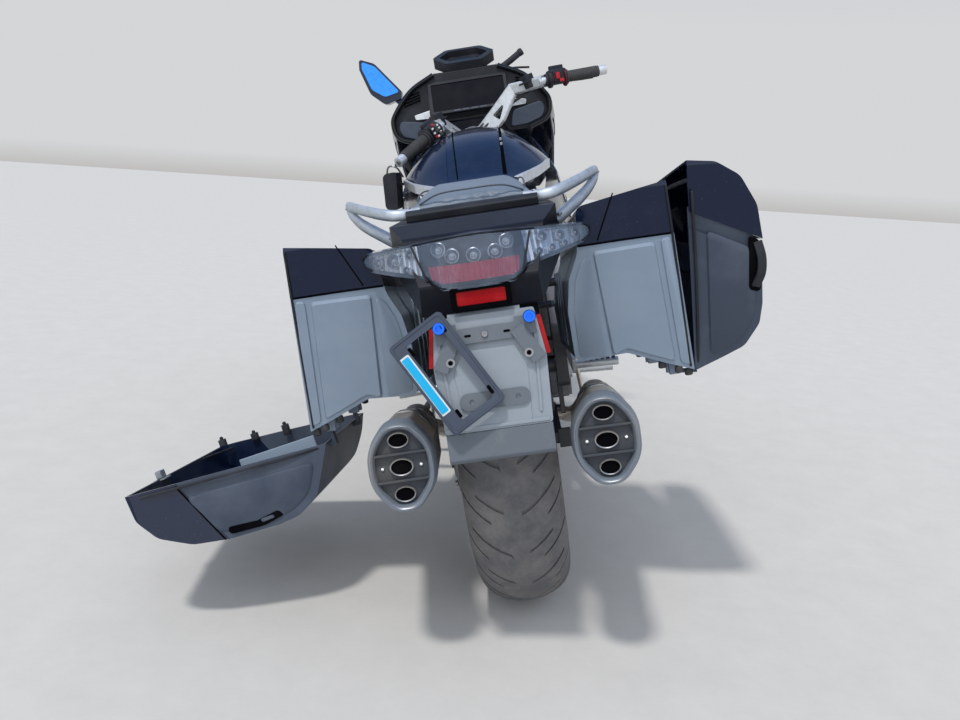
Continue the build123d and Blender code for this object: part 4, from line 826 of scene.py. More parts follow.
def tyre_form(radius, width, crown_r, crown_half, periods, grooves, bow):
    """The whole tyre; grooves are (offset, width, from, to) with arcs from the middle, in millimetres."""
    half_profile = tyre_profile(radius, width, crown_r, crown_half, PROFILE_STEPS)
    pitch = 2 * math.pi * radius / periods
    marks = [(0.0, None)]
    for groove in grooves:
        offset, wide = groove[0] * pitch, groove[1]
        for share in (0.0, 0.12, 0.88, 1.0):
            marks.append((offset + wide * share, groove if 0.0 < share < 1.0 else None))
    marks.sort(key=lambda mark: mark[0])
    filled = []
    for index, mark in enumerate(marks):
        filled.append(mark)
        ahead = marks[index + 1][0] if index + 1 < len(marks) else pitch
        gap = ahead - mark[0]
        extra = int(gap // TREAD_PITCH)
        for step in range(1, extra + 1):
            filled.append((mark[0] + gap * step / (extra + 1), None))
    rows = []
    for period in range(periods):
        for place, groove in filled:
            row = []
            for side in (-1, 1):
                line = half_profile if side > 0 else half_profile[1:][::-1]
                for arc, x, r in line:
                    depth = 0.0
                    if groove and groove[2] < arc < groove[3]:
                        depth = TREAD_DEPTH
                    lag = pitch * 0.5 if side < 0 else 0.0
                    blend = min(1.0, arc / 14.0)
                    bent = place + lag * blend + bow(arc) + period * pitch
                    angle = bent / radius
                    row.append((side * x, math.sin(angle) * (r - depth), math.cos(angle) * (r - depth)))
            rows.append(row)
    return skin(rows, loop=True)


def rear_bow(arc):
    """How far the grooves run round the rear tyre on their way out from the middle."""
    return 74.0 * (max(0.0, arc - 8) / 100.0) ** 1.35


def front_bow(arc):
    return -52.0 * (max(0.0, arc - 5) / 70.0) ** 1.3


def tyres():
    form = tyre_form(REAR_R, REAR_W, REAR_CROWN_R, 60.0, 11, REAR_GROOVES, rear_bow)
    rear_tyre = piece("rear_tyre_tread", placed(form, shift(0, 0, REAR_R)), "tyre_rubber", "rear_wheel")
    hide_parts("tyre_rear")
    form = placed(tyre_form(FRONT_R, FRONT_W, FRONT_CROWN_R, 40.0, 13, FRONT_GROOVES, front_bow),
                  shift(0, WHEELBASE, FRONT_R))
    front_tyre = piece("front_tyre_tread", form, "tyre_rubber", "front_wheel", STEERED)
    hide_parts("tyre_front")


# Side cases. Their rear faces lean back as they rise: the place of a point at x and height w.
CASE_REAR_FOOT = 8.0
CASE_REAR_LEAN = 150.0 / 384.0
REAR_OUT = Vector((0.0, -0.931, -0.364))
CASE_FEET = [(322, 8), (352, 4), (372, 14), (322, 300)]
MAIN_PANEL = [(206, 250), (318, 252), (346, 22), (300, 40), (252, 60), (226, 50)]
INNER_PANEL = [(183, 236), (199, 244), (216, 50), (164, 56), (160, 140), (168, 200)]
LEFT_CAVITY = [(466, 214), (482, 210), (490, 150), (484, 112), (470, 118), (474, 160)]
LID_PANEL = [(386, 262), (468, 228), (478, 205), (486, 128), (482, 92), (462, 58), (424, 38), (408, 34)]


def on_rear(x, w, out=0.0):
    return Vector((x, CASE_REAR_FOOT - (w + 20) * CASE_REAR_LEAN, w)) + REAR_OUT * out


def rear_plate(corners, high, inset=5.0, low=-2.5, radius=8.0):
    """A raised panel with sloped edges on a case's rear face."""
    outer = rounded(corners, radius)
    middle = Vector((0, 0))
    for corner in corners:
        middle += Vector(corner) / len(corners)
    inner = []
    for point in outer:
        inward = middle - Vector(point)
        inner.append(tuple(Vector(point) + inward.normalized() * inset))
    rows = []
    for line, out in ((outer, low), (outer, high * 0.25), (inner, high)):
        rows.append([on_rear(x, w, out) for x, w in line])
    return skin(rows)


def rear_bead(points, width, high, steps=3):
    line = [on_rear(x, w, high * 0.4) for x, w in points]
    return sweep(line, rectangle(width, high), steps, tuple(REAR_OUT))


def case_details():
    for side, name in ((-1, "left"), (1, "right")):
        at = case_frame(side)
        rim_panel = rear_plate([(329, 255), (347, 257), (378, 10), (356, 16)], 3.0, 3.0)
        panels = join(rear_plate(MAIN_PANEL, 5.0), rim_panel, rear_plate(INNER_PANEL, 2.0, 3.0))
        piece(name + "_case_panels", panels, "case_plastic", "main", at, 1.5)
        # The groove and the step line are near-black beads: painted shade.
        seam = rear_bead([(250, 345), (238, 318), (216, 268)], 2.2, 1.2)
        step = rear_bead([(180, 262.5), (262, 263), (350, 262.5)], 3.2, 1.6, 1)
        piece(name + "_case_seams", join(seam, step), "black_hole", "main", at)
        lip = rear_bead([(343, 346), (374, 8)], 4.0, 4.0, 1)
        piece(name + "_case_lip", lip, "dark_plastic", "main", at, 1.0)
        foot = turned([(7, 0), (8, -7), (8, -12), (5, -14), (0.3, -14.5)], 16)
        feet = [placed(foot, shift(x, v, 24 - (x - 322) * 0.42)) for x, v in CASE_FEET]
        piece(name + "_case_feet", join(*feet), "grip_rubber", "main", at)
        ribs = boxes((4, 5, 150), 1.5, [(151, v, 150) for v in (70, 150, 230)])
        piece(name + "_case_ribs", ribs, "case_plastic", "main", at, 1.0)


def lid_details():
    right = lid_frame(1)
    left = lid_frame(-1)
    panel = rear_plate(LID_PANEL, 4.0, 6.0, radius=14)
    for at, name in ((left, "left"), (right, "right")):
        piece(name + "_lid_panel", panel, "lid_plastic", name + "_lid", at, 1.5)
    # The latch cavities are near-black raised plates: painted shade.
    cavity = rear_plate([(462, 250), (484, 240), (494, 190), (492, 148), (470, 152)], 5.2, 2.0, 0.0)
    piece("right_latch_cavity", cavity, "black_hole", "right_lid", right)
    line = [on_rear(478, 240, 4), on_rear(486, 214, 11), on_rear(488, 186, 11), on_rear(482, 160, 4)]
    handle = sweep(line, rectangle(16, 7, 2.5), 5, tuple(REAR_OUT))
    piece("right_latch_handle", handle, "dark_plastic", "right_lid", right, 0.8)
    piece("left_latch_cavity", rear_plate(LEFT_CAVITY, 4.6, 2.0, 0.0), "black_hole", "left_lid", left)
    lever = rear_plate([(474, 156), (483, 154), (482, 128), (475, 130)], 6.0, 2.0, 0.5)
    piece("left_latch_lever", lever, "lid_plastic", "left_lid", left, 0.8)
    # The crease is a near-black bead: painted shade.
    crease = rear_bead([(359, 270), (404, 253), (470, 228), (488, 221)], 3.0, 2.4, 2)
    piece("left_lid_crease", crease, "black_hole", "left_lid", left)
    rim_line = [(353, -130, 350), (352, 60, 358), (352, 240, 354), (359, 390, 330)]
    sill_line = [(388, 4, 6), (381, -36, 80), (369, -88, 200), (356, -130, 330)]
    liner = sweep(rim_line, rectangle(8, 5, 1.5), 5, (1, 0, 0))
    sill = sweep(sill_line, rectangle(8, 5, 1.5), 4, (1, 0, 0))
    for at, name in ((left, "left"), (right, "right")):
        piece(name + "_lid_liner", join(liner, sill), "dark_plastic", name + "_lid", at, 0.8)
    clip = join(
        placed(block((26, 34, 3), 3), shift(348, 30, 352) @ turn(90, "Y")),
        placed(block((16, 22, 12), 3), shift(338, 30, 352)),
        placed(turned([(4, 0), (4, 10), (2.5, 12), (0.2, 12)], 14), shift(342, 30, 352) @ turn(-90, "Y")),
    )
    piece("left_lid_clip", clip, "grey_plastic", "left_lid", left, 0.8)
    posts = []
    pin = turned([(4.5, 0), (4.5, 5), (1.5, 7), (0.2, 7)], 14)
    for w, height in ((352, 22), (270, 18), (190, 26)):
        x = 342 + (352 - w) * 0.1
        posts.append(placed(block((height, 14, 16), 3), shift(x, 404, w)))
        posts.append(placed(pin, shift(x - height / 2, 404, w) @ turn(-90, "Y")))
    piece("left_lid_posts", join(*posts), "dark_plastic", "left_lid", left, 0.8)
    divider = placed(block((86, 6, 190), 3), shift(430, 330, 205))
    pocket = placed(block((64, 90, 6), 3), shift(445, 290, 120))
    piece("left_lid_divider", join(divider, pocket), "case_plastic", "left_lid", left, 1.5)


# Grab rails: flat cast loops from the carrier's ends around to the cowl.
RAIL_LINE = [(98, -157, 850), (150, -168, 853), (205, -126, 868), (240, -70, 879), (247, -44, 876),
             (238, -72, 862), (210, -112, 838), (152, -140, 800)]


def rail_size(share):
    """The rail thins towards the middle of its length."""
    return 1.0 - 0.22 * math.sin(share * math.pi)


def grab_rails():
    rail = sweep(RAIL_LINE, oval(15, 24, 16), 7, (0.0, 0.3, 1.0), rail_size)
    rails = piece("grab_rail_loops", both(rail), "rail_metal")
    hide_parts("grab_rails")
    heads = join(bolts(6, 4, [shift(118, -160, 859)]), bolts(5, 4, [shift(160, -147, 809)]))
    piece("grab_rail_bolts", both(heads), "steel_dark")


# Seats: the solid's own skin, padded out by cloth under pressure. Lengths are in metres.
SEAT_VOXEL = 0.006
SEAT_SHRINK = 0.003
SEAT_SWELL_CAP = 0.009
SEAT_PRESSURE = 4.0
SEAT_TENSION = 15.0
SEAT_BENDING = 2.0
SWELL_FRAMES = 12
SEATS = {"pillion_pad": "pillion_seat", "rider_pad": "rider_seat"}


def padded_seat(name, node):
    source = NODES[node].data
    mesh = bpy.data.meshes.new(name)
    work = bmesh.new()
    work.from_mesh(source)
    bmesh.ops.remove_doubles(work, verts=work.verts, dist=0.0001)
    work.to_mesh(mesh)
    work.free()
    seat = bpy.data.objects.new(name, mesh)
    bpy.context.scene.collection.objects.link(seat)
    bpy.context.view_layer.objects.active = seat
    seat.select_set(True)
    remesh = seat.modifiers.new("remesh", "REMESH")
    remesh.mode = "VOXEL"
    remesh.voxel_size = SEAT_VOXEL
    bpy.ops.object.modifier_apply(modifier="remesh")
    smooth = seat.modifiers.new("smooth", "SMOOTH")
    smooth.factor = 0.5
    smooth.iterations = 8
    bpy.ops.object.modifier_apply(modifier="smooth")
    start = [vertex.co - vertex.normal * SEAT_SHRINK for vertex in seat.data.vertices]
    for vertex, place in zip(seat.data.vertices, start):
        vertex.co = place
    swell(seat, start)
    seat.data.materials.clear()
    seat.data.materials.append(MATERIALS["seat_cover"])
    seat.data.shade_smooth()
    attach(seat, "main")
    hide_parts(node)
    seat.select_set(False)


def swell(seat, start):
    cloth = seat.modifiers.new("cloth", "CLOTH")
    cloth.settings.use_pressure = True
    cloth.settings.uniform_pressure_force = SEAT_PRESSURE
    cloth.settings.effector_weights.gravity = 0.0
    cloth.settings.quality = 4
    cloth.settings.tension_stiffness = SEAT_TENSION
    cloth.settings.bending_stiffness = SEAT_BENDING
    scene = bpy.context.scene
    for step in range(1, SWELL_FRAMES + 1):
        scene.frame_set(step)
    result = seat.evaluated_get(bpy.context.evaluated_depsgraph_get())
    moved = [vertex.co.copy() for vertex in result.data.vertices]
    seat.modifiers.remove(cloth)
    scene.frame_set(1)
    for vertex, before, after in zip(seat.data.vertices, start, moved):
        step = after - before
        if step.length > SEAT_SWELL_CAP:
            step = step.normalized() * SEAT_SWELL_CAP
        vertex.co = before + step


def seats():
    for name, node in SEATS.items():
        padded_seat(name, node)


# Handlebar, switchgear, hoses and fluid pots. They turn with the steering.
BAR_ROOT = Vector((206, 984, 1104))
BAR_TIP = Vector((392, 926, 1060))
SWITCH_SHARE = 0.22
STEERED_LEFT = STEERED @ mirror(-1)
GRIP_RIB = [(17.1, -1.3), (18.2, -0.7), (18.2, 0.7), (17.1, 1.3)]
POT_AT = (178, 1030, 1122)


def bar_frame(share):
    """A frame on the right grip tube: z outward along it, x up, y towards the rider."""
    start = BAR_ROOT.lerp(BAR_TIP, share)
    end = BAR_ROOT.lerp(BAR_TIP, share + 0.1)
    return along(start, end, (0, 0, 1))


def collar(profile, share, sides=24):
    return placed(turned(profile, sides), bar_frame(share))


def bar_pair(name, form, material, bevel=0.0):
    """The same form on the right and on the left of the steering."""
    piece(name + "_right", form, material, "steering", STEERED, bevel)
    piece(name + "_left", form, material, "steering", STEERED_LEFT, bevel)


def switches():
    at = bar_frame(SWITCH_SHARE)
    shells = join(
        collar([(23, -7), (27, -5), (27, 5), (23, 7)], 0.10),
        collar([(24, -4), (29, -2), (29, 3), (24, 5)], 0.355),
        boxes((36, 20, 34), 7, [(4, 19, 0)], at),
        boxes((20, 14, 46), 5, [(30, 6, 0)], at),
    )
    bar_pair("switch_shell", shells, "dark_plastic", 2.0)
    reds = join(
        boxes((20, 7, 12), 2, [(6, 31, 0)], bar_frame(0.20)),
        boxes((10, 6, 14), 2, [(-9, 29, 0)], bar_frame(0.26)),
        collar([(25.5, -1.6), (25.8, 0), (25.5, 1.6)], 0.125),
        collar([(27.4, -1.5), (27.8, 0), (27.4, 1.5)], 0.345),
    )
    piece("switch_red_right", reds, "red_button", "steering", STEERED, 0.8)
    spots = [(14, 31, -12), (4, 31, -13), (-8, 31, -12), (14, 31, 12), (0, 31, 13), (-14, 31, 4)]
    whites = boxes((6, 4, 7), 1.5, spots, at)
    piece("switch_white_left", whites, "white_edge", "steering", STEERED_LEFT, 0.6)
    reds = join(boxes((8, 6, 9), 2, [(21, 28, 2)], at), boxes((7, 6, 10), 2, [(-12, 28, 10)], at))
    piece("switch_red_left", reds, "red_button", "steering", STEERED_LEFT, 0.6)
    keys = boxes((13, 8, 11), 3, [(2, 31, 0), (15, 31, 0), (-13, 31, -8)], at)
    piece("switch_keys_left", keys, "grip_rubber", "steering", STEERED_LEFT, 1.0, slot="dark_plastic")


def bar_pieces():
    switches()
    ribs = [collar(GRIP_RIB, 0.43 + step * 0.033, 22) for step in range(15)]
    bar_pair("grip_ribs", join(*ribs), "grip_rubber")
    collar_box = placed(block((6, 50, 46), 6), shift(*POT_AT) @ turn(90, "Y"))
    pot = join(boxes((30, 46, 42), 6, [POT_AT]), collar_box)
    bar_pair("fluid_pot", pot, "dark_plastic", 2.0)
    hose = tube([(178, 1040, 1106), (150, 1092, 1100), (96, 1140, 1082), (24, 1172, 1046)], 5)
    cable = tube([(226, 990, 1086), (188, 1046, 1092), (112, 1118, 1072), (28, 1162, 1040)], 4.5)
    bar_pair("bar_hoses", join(hose, cable), "grip_rubber")
    screw = placed(socket_bolt(5, 3), bar_frame(0.06) @ shift(0, 15, 0) @ turn(-90, "X"))
    end_screw = collar([(7.5, 0), (7.5, 2), (5, 2.6), (4.8, 0.4), (0.2, 0.3)], 1.061, 18)
    bar_pair("bar_screws", join(screw, end_screw), "steel_dark")
    nut = turned([(26, 0), (26, 9), (22, 12), (10, 12), (9, 4), (0.3, 4)], 24)
    nut = placed(nut, along((0, 1176, 1044), (0, 1171, 1053)))
    piece("stem_nut", nut, "bright_steel", "steering", STEERED)


# Cockpit around the display, and the bracket above it.
DISPLAY_LOW = Vector((0, 1256, 1126))
DISPLAY_HIGH = Vector((0, 1292, 1230))
RIM_LINE = [(112, 1290, 1258), (196, 1288, 1216), (258, 1286, 1150), (273, 1286, 1112),
            (258, 1286, 1066), (196, 1286, 1040)]
PANEL_OUTLINE = [(146, 1104), (246, 1122), (256, 1096), (244, 1068), (192, 1052), (130, 1050)]
# A silver strip on each inner panel is a painted highlight: it stands in for a pale glint on the dark panel.
GLINT_STRIP_OUTLINE = [(128, 1146), (196, 1134), (192, 1118), (134, 1116)]
TRAY_OUTLINE = [(-128, 1262), (128, 1262), (120, 1236), (-120, 1236)]
DISH_PROFILE = [(40, 0), (44, 3), (40, 6), (24, 3), (10, 5), (0.3, 6)]


def cockpit_pieces():
    up = (DISPLAY_HIGH - DISPLAY_LOW).normalized()
    out = Vector((0, -up.z, up.y))
    face = frame_of((DISPLAY_LOW + DISPLAY_HIGH) * 0.5, Vector((1, 0, 0)), up, out)
    outer = rectangle(272, 116, 8)
    inner = rectangle(250, 96, 5)
    bezel = skin(rows_of([outer, outer, inner, inner], [-6, 3.5, 3.0, 0.3]), loop=True)
    piece("display_bezel", placed(bezel, face), "dark_plastic", bevel=1.2)
    keys = [placed(slab(rectangle(22, 5, 2, (x, -53)), 3, 4.4), face) for x in (-44, -14, 16, 46)]
    piece("display_keys", join(*keys), "lid_plastic")
    piece("cockpit_rims", both(sweep(RIM_LINE, oval(17, 22, 14), 6, (0, 1, 0))), "gloss_black")
    piece("cockpit_panels", both(upright(PANEL_OUTLINE, 1287, 1297, 12)), "lid_plastic", bevel=2.0)
    # Painted highlight: silver strips where a pale glint lies on the dark inner panels.
    piece("cockpit_glint_strips", both(upright(GLINT_STRIP_OUTLINE, 1284, 1292, 5)), "silver_metal", bevel=1.2)
    # The vent slots are near-black blocks: painted shade.
    places = [shift(196, 1293, 1176 + step * 9) @ turn(14, "Y") for step in range(4)]
    vents = join(*[placed(block((60, 5, 4), 1.5), place) for place in places])
    piece("cockpit_vents", both(vents), "black_hole")


def bracket_pieces():
    arm = tube([(104, 1356, 1246), (150, 1352, 1268), (200, 1352, 1297)], 11, 14)
    cap = turned([(12.5, -6), (13, 0), (12, 8), (8, 9), (0.2, 9)], 18)
    cap = placed(cap, along((198, 1352, 1296), (210, 1352, 1302)))
    upper_bar = sweep([(96, 1336, 1238), (160, 1332, 1246), (222, 1330, 1240)], rectangle(16, 6, 2), 4)
    lower_bar = sweep([(120, 1334, 1222), (170, 1330, 1222), (226, 1330, 1206)], rectangle(20, 9, 3), 4)
    piece("screen_arm", join(arm, cap, upper_bar, lower_bar), "dark_plastic", bevel=0.8)
    piece("screen_tray", upright(TRAY_OUTLINE, 1300, 1342, 6), "dark_plastic", bevel=2)
    screws = bolts(5, 4, [shift(x, 1318, 1262) for x in (-112, -60, 60, 112)])
    piece("tray_screws", screws, "steel_dark")
    dish_at = shift(0, 1354, 1294) @ turn(26, "X") @ Matrix.Diagonal((1.2, 0.62, 1, 1))
    piece("dish_boss", placed(turned(DISH_PROFILE, 30), dish_at), "gloss_black")
    loop = tube([(-214, 764, 930), (-226, 736, 958), (-250, 742, 962), (-262, 760, 930)], 2.6, 8)
    piece("pod_wire", loop, "steel_dark")


# Where a line meets the solids.


def meet(names, start, end):
    """Where a ray first meets any of some CAD nodes, in the machine's frame, or None."""
    best = None
    for name in names:
        inverse = NODES[name].matrix_world.inverted() @ BIKE
        origin = inverse @ Vector(start)
        way = (inverse @ Vector(end) - origin).normalized()
        hit, spot = NODES[name].ray_cast(origin, way)[:2]
        if hit:
            place = inverse.inverted() @ spot
            if best is None or (place - Vector(start)).length < (best - Vector(start)).length:
                best = place
    return best


# Tank: seams that lie on its skin, small hinges and the filler's lid.
TANK_NODES = ("tank_centre", "tank_sides")
TANK_FRONT_Y = 1098
TANK_SEAM_LENGTH = 598
TANK_STEPS = 16
RAY_FROM_Z = 1400
RAY_TO_Z = 1000


def on_tank(x, y, lift):
    """The place at x and y on the tank's skin, lifted off it, or None."""
    place = meet(TANK_NODES, (x, y, RAY_FROM_Z), (x, y, RAY_TO_Z))
    return None if place is None else Vector((x, y, place.z + lift))


def tank_line(x_front, x_rear, lift):
    """Points that lie on the tank from its front end to the seat."""
    points = []
    for step in range(TANK_STEPS + 1):
        share = step / TANK_STEPS
        x = x_front + (x_rear - x_front) * share
        points.append(on_tank(x, TANK_FRONT_Y - TANK_SEAM_LENGTH * share, lift))
    return [point for point in points if point is not None]


def tank_pieces():
    # The grooves are near-black strips laid on the skin: painted shade.
    right = sweep(tank_line(84, 78, -0.3), rectangle(11, 2.4, 0.8), 2)
    left = sweep(tank_line(-64, -48, 0.5), rectangle(3.6, 2.4, 0.8), 2)
    piece("tank_grooves", join(right, left), "black_hole")
    hinges = boxes((7, 18, 8), 2, [on_tank(81, y, 1) for y in (700, 728, 900)])
    piece("tank_hinges", hinges, "steel_dark", bevel=1.0)
    cap = turned([(44, -4), (44, 1.2), (41, 2.6), (12, 3.0), (0.3, 3.0)], 40)
    cap = placed(cap, shift(0, 985, 1041.5) @ turn(-4, "X"))
    piece("filler_lid", cap, "gloss_black", slot="black_paint")


# Wheels, brakes and front end.
DISC_T = 5.0
DISC_HOLES = 26
HOLE_ROWS = (112, 130, 148)
CARRIER_ARMS = 10
REAR_DISC_X = -68.8
FRONT_DISC_X = 64.8
FORK_SIDE_X = 106
CALIPER_SIDE_X = 77.2


def disc_set(x):
    """Holes, and carrier with its rivets, of one brake disc about the x axis."""
    centre = shift(x, 0, 0)
    half = DISC_T / 2
    holes = []
    for index in range(DISC_HOLES):
        for row, radius in enumerate(HOLE_ROWS):
            angle = 360.0 * (index + row / 3) / DISC_HOLES
            spot = centre @ turn(angle, "X") @ shift(0, 0, radius) @ turn(90, "Y")
            holes.append(placed(turned([(4.2, -half - 0.3), (4.2, half + 0.3)], 10), spot))
    carrier = []
    for index in range(CARRIER_ARMS):
        spoke = centre @ turn(360 / CARRIER_ARMS * index, "X")
        arm = sweep([(0, 0, 60), (0, 4, 71), (0, 0, 82)], rectangle(14, DISC_T + 2.0, 2), 3, (1, 0, 0))
        carrier.append(placed(arm, spoke))
        rivet = turned([(7, -half - 2), (7, half + 2)], 14)
        carrier.append(placed(rivet, spoke @ shift(0, 0, 78) @ turn(90, "Y")))
    return join(*holes), join(*carrier)


def rear_wheel_pieces():
    rear = BIKE @ shift(0, 0, REAR_R)
    holes, carrier = disc_set(REAR_DISC_X)
    # The disc holes are filled with near-black plugs: painted shade.
    piece("rear_disc_holes", holes, "black_hole", "rear_wheel", rear, slot="dark_metal")
    piece("rear_disc_carrier", carrier, "dark_metal", "rear_wheel", rear, 0.6)
    hub = placed(turned([(62, 0), (62, 3), (56, 5), (30, 6), (28, 1), (0.3, 1)], 36), outward(1, 34, 0, 0))
    heads = bolts(9, 8, [shift(39, 0, 0) @ turn(72 * k + 36, "X") @ outward(1, 0, 0, 45) for k in range(5)])
    piece("rear_hub_bolts", join(hub, heads), "steel_dark", "rear_wheel", rear, 0.6)
    valve = turned([(4, 0), (4, 14), (3, 16), (3, 26), (0.3, 27)], 12)
    valve = placed(valve, turn(30, "X") @ shift(0, 0, 207) @ turn(180, "X"))
    piece("rear_valve", valve, "bright_steel", "rear_wheel", rear)


def front_end_pieces():
    front = STEERED @ shift(0, WHEELBASE, FRONT_R)
    for side, name in ((-1, "left"), (1, "right")):
        holes, carrier = disc_set(side * FRONT_DISC_X)
        # The disc holes are filled with near-black plugs: painted shade.
        piece("front_disc_holes_" + name, holes, "black_hole", "front_wheel", front, slot="dark_metal")
        piece("front_disc_carrier_" + name, carrier, "dark_metal", "front_wheel", front, 0.6)
    nut = turned([(17, 0), (17, 6), (14, 8), (9, 8), (8, 3), (0.3, 3)], 6)
    nuts = [placed(nut, outward(side, FORK_SIDE_X, WHEELBASE, FRONT_R)) for side in (-1, 1)]
    spots = [(WHEELBASE - 22, FRONT_R + 30), (WHEELBASE + 20, FRONT_R + 34)]
    clamp_bolts = side_bolts(6, 5, FORK_SIDE_X, spots)
    piece("fork_bolts", join(*nuts, clamp_bolts), "steel_dark", "steering", STEERED)
    line = tube([(84, 1500, 350), (92, 1462, 440), (100, 1440, 560), (96, 1400, 700)], 4.5)
    piece("front_brake_lines", both(line), "grip_rubber", "steering", STEERED)
    spots = [(WHEELBASE + y, FRONT_R + z) for y, z in ((-138, 30), (-104, 28), (-120, 66))]
    heads = side_bolts(6, 4, CALIPER_SIDE_X, spots)
    piece("front_caliper_bolts", heads, "bright_steel", "steering", STEERED)


# Headlamp: five bowls and bulbs on a dark plate behind the glass.
LAMP_Y = 1712
LAMP_SPOTS = [(-62, 903, 40), (62, 903, 40), (-122, 905, 20), (122, 905, 20), (0, 893, 22)]
LAMP_BACK = [(-112, 854), (112, 854), (160, 905), (82, 956), (-82, 956), (-160, 905)]
LAMP_BOWL = [(1.0, -10), (1.0, 6), (0.93, 7), (0.6, -2), (0.5, -4), (0.0, -5)]
LAMP_BULB = [(0.46, -5), (0.46, 2), (0.34, 7), (0.16, 9.5), (0.0, 10)]


def headlamp_pieces():
    bowls = []
    bulbs = []
    for x, z, radius in LAMP_SPOTS:
        at = along((x, LAMP_Y, z), (x, LAMP_Y + 8, z - 1))
        bowl_profile = [(max(radius * share, 0.3), height) for share, height in LAMP_BOWL]
        bulb_profile = [(max(radius * share, 0.2), height) for share, height in LAMP_BULB]
        bowls.append(placed(turned(bowl_profile, 32), at))
        bulbs.append(placed(turned(bulb_profile, 24), at))
    piece("headlamp_bowls", join(*bowls), "tail_silver")
    piece("headlamp_lenses", join(*bulbs), "tail_bulb")
    back = upright(LAMP_BACK, 1692, 1704, 8)
    piece("headlamp_back", back, "tail_dark", bevel=1.5)


# Engine covers, radiator, final drive and pipe clamps.
CRANK_SIDE_X = 189
BANK_SIDE_X = 272
CRANK_COVERS = [(940, 400, 108), (770, 400, 78)]
BANK_BOLTS = [(840, 610), (1040, 612), (1180, 530), (1080, 360), (900, 470)]
RADIATOR_FACES = (1263, 1233)
FIN_COUNT = 23
FIN_PITCH = 9.0
FIN_FOOT_Z = 436


def engine_pieces():
    covers = []
    heads = [side_bolts(7, 6, BANK_SIDE_X, BANK_BOLTS)]
    for side in (-1, 1):
        for y, z, radius in CRANK_COVERS:
            profile = [(radius, 0), (radius, 9), (radius - 9, 14), (radius * 0.5, 17), (0.3, 18)]
            covers.append(placed(turned(profile, 40), outward(side, CRANK_SIDE_X, y, z)))
            for index in range(8):
                spot = shift(side * CRANK_SIDE_X, y, z) @ turn(45 * index, "X")
                heads.append(placed(socket_bolt(5, 5), spot @ outward(side, 9, 0, radius - 5)))
        for step in range(7):
            at = shift(side * BANK_SIDE_X, 850 + step * 52, 520) @ turn(-16, "X")
            covers.append(placed(block((7, 8, 120), 2), at))
    piece("engine_covers", join(*covers), "engine_metal", bevel=1.5)
    piece("engine_bolts", join(*heads), "steel_dark")
    clamp = skin(rows_of([oval(50, 50), oval(50, 50)], [-5, 5]))
    spots = [(side * 70, y, z) for side in (-1, 1) for y, z in ((1090, 186), (830, 184))]
    clamps = [placed(clamp, along((x, y, z), (x, y + 1, z))) for x, y, z in spots]
    piece("pipe_clamps", join(*clamps), "steel_dark", bevel=1, slot="steel")


def radiator_pieces():
    spots = [(0, y, FIN_FOOT_Z + FIN_PITCH * step) for y in RADIATOR_FACES for step in range(FIN_COUNT)]
    posts = boxes((3, 5, 206), 0, [(x, 1263.5, 535) for x in (-150, -75, 0, 75, 150)])
    piece("radiator_fins", join(boxes((452, 4, 2.2), 0, spots), posts), "steel_dark")
    tanks = boxes((16, 32, 212), 5, [(-224, 1248, 535), (224, 1248, 535)])
    piece("radiator_tanks", tanks, "dark_plastic", bevel=2, slot="dark_metal")
    right = tube([(206, 1244, 624), (192, 1190, 660), (150, 1130, 668), (120, 1080, 640)], 15, 14)
    left = tube([(-196, 1236, 452), (-200, 1190, 410), (-160, 1140, 360), (-130, 1090, 330)], 15, 14)
    piece("radiator_hoses", join(right, left), "grip_rubber")


def drive_pieces():
    cover = placed(turned([(84, 0), (84, 6), (76, 9), (30, 10), (0.3, 10)], 36), outward(-1, 108, 0, REAR_R))
    piece("drive_cover", cover, "engine_metal", bevel=1.0, slot="frame_metal")
    arm_heads = bolts(9, 7, [outward(-1, 140, y, z) for y, z in ((470, 350), (250, 340))])
    centre = shift(-116, 0, REAR_R)
    cover_heads = bolts(6, 5, [centre @ turn(60 * k, "X") @ outward(-1, 0, 0, 78) for k in range(6)])
    piece("arm_bolts", join(arm_heads, cover_heads), "steel_dark")


# Gill blades, peg rubbers, and the bolts of side covers and frame.
COVER_SIDE_X = 135
FRAME_SIDE_X = 178
COVER_BOLTS = [(382, 718), (606, 716), (500, 610)]
FRAME_BOLTS = [(1270, 850), (1100, 770), (860, 720), (570, 500), (560, 362)]


def flank_pieces():
    # The gill blades are near-black slats: painted shade in the gills.
    places = [shift(270, 1072 + 62 * step, 636) @ turn(-25, "X") for step in range(3)]
    blades = join(*[placed(block((3, 5, 150), 1), place) for place in places])
    piece("gill_blades", both(blades), "black_hole")
    spots = []
    for x, y, z, reach in ((206, 590, 330, 96), (206, 338, 402, 84)):
        spots += [(x + reach * (step + 0.5) / 6, y, z + 11) for step in range(6)]
    pegs = boxes((8, 20, 5), 1.5, spots)
    piece("peg_rubbers", pegs, "grip_rubber", bevel=0.8)
    piece("side_cover_bolts", side_bolts(7, 4, COVER_SIDE_X, COVER_BOLTS), "steel_dark")
    piece("frame_bolts", side_bolts(10, 6, FRAME_SIDE_X, FRAME_BOLTS), "steel_dark")


# Seat seams: thin piping on the pads.
SEAM_R = 1.8
PILLION_REAR = [(-100, -114, 864), (-60, -119, 879), (0, -121, 881), (60, -119, 879), (100, -114, 864)]
PILLION_SIDE = [(104, -104, 872), (106, 0, 881), (106, 130, 885), (104, 250, 883), (98, 318, 874)]
RIDER_REAR = [(-112, 384, 868), (-60, 378, 874), (0, 376, 875), (60, 378, 874), (112, 384, 868)]


def seat_seams():
    left_side = [(-x, y, z) for x, y, z in PILLION_SIDE]
    lines = {"pillion_seam_rear": PILLION_REAR, "pillion_seam_left": left_side,
             "pillion_seam_right": PILLION_SIDE, "rider_seam": RIDER_REAR}
    for name, line in lines.items():
        piece(name, tube(line, SEAM_R, 8), "seat_seam")


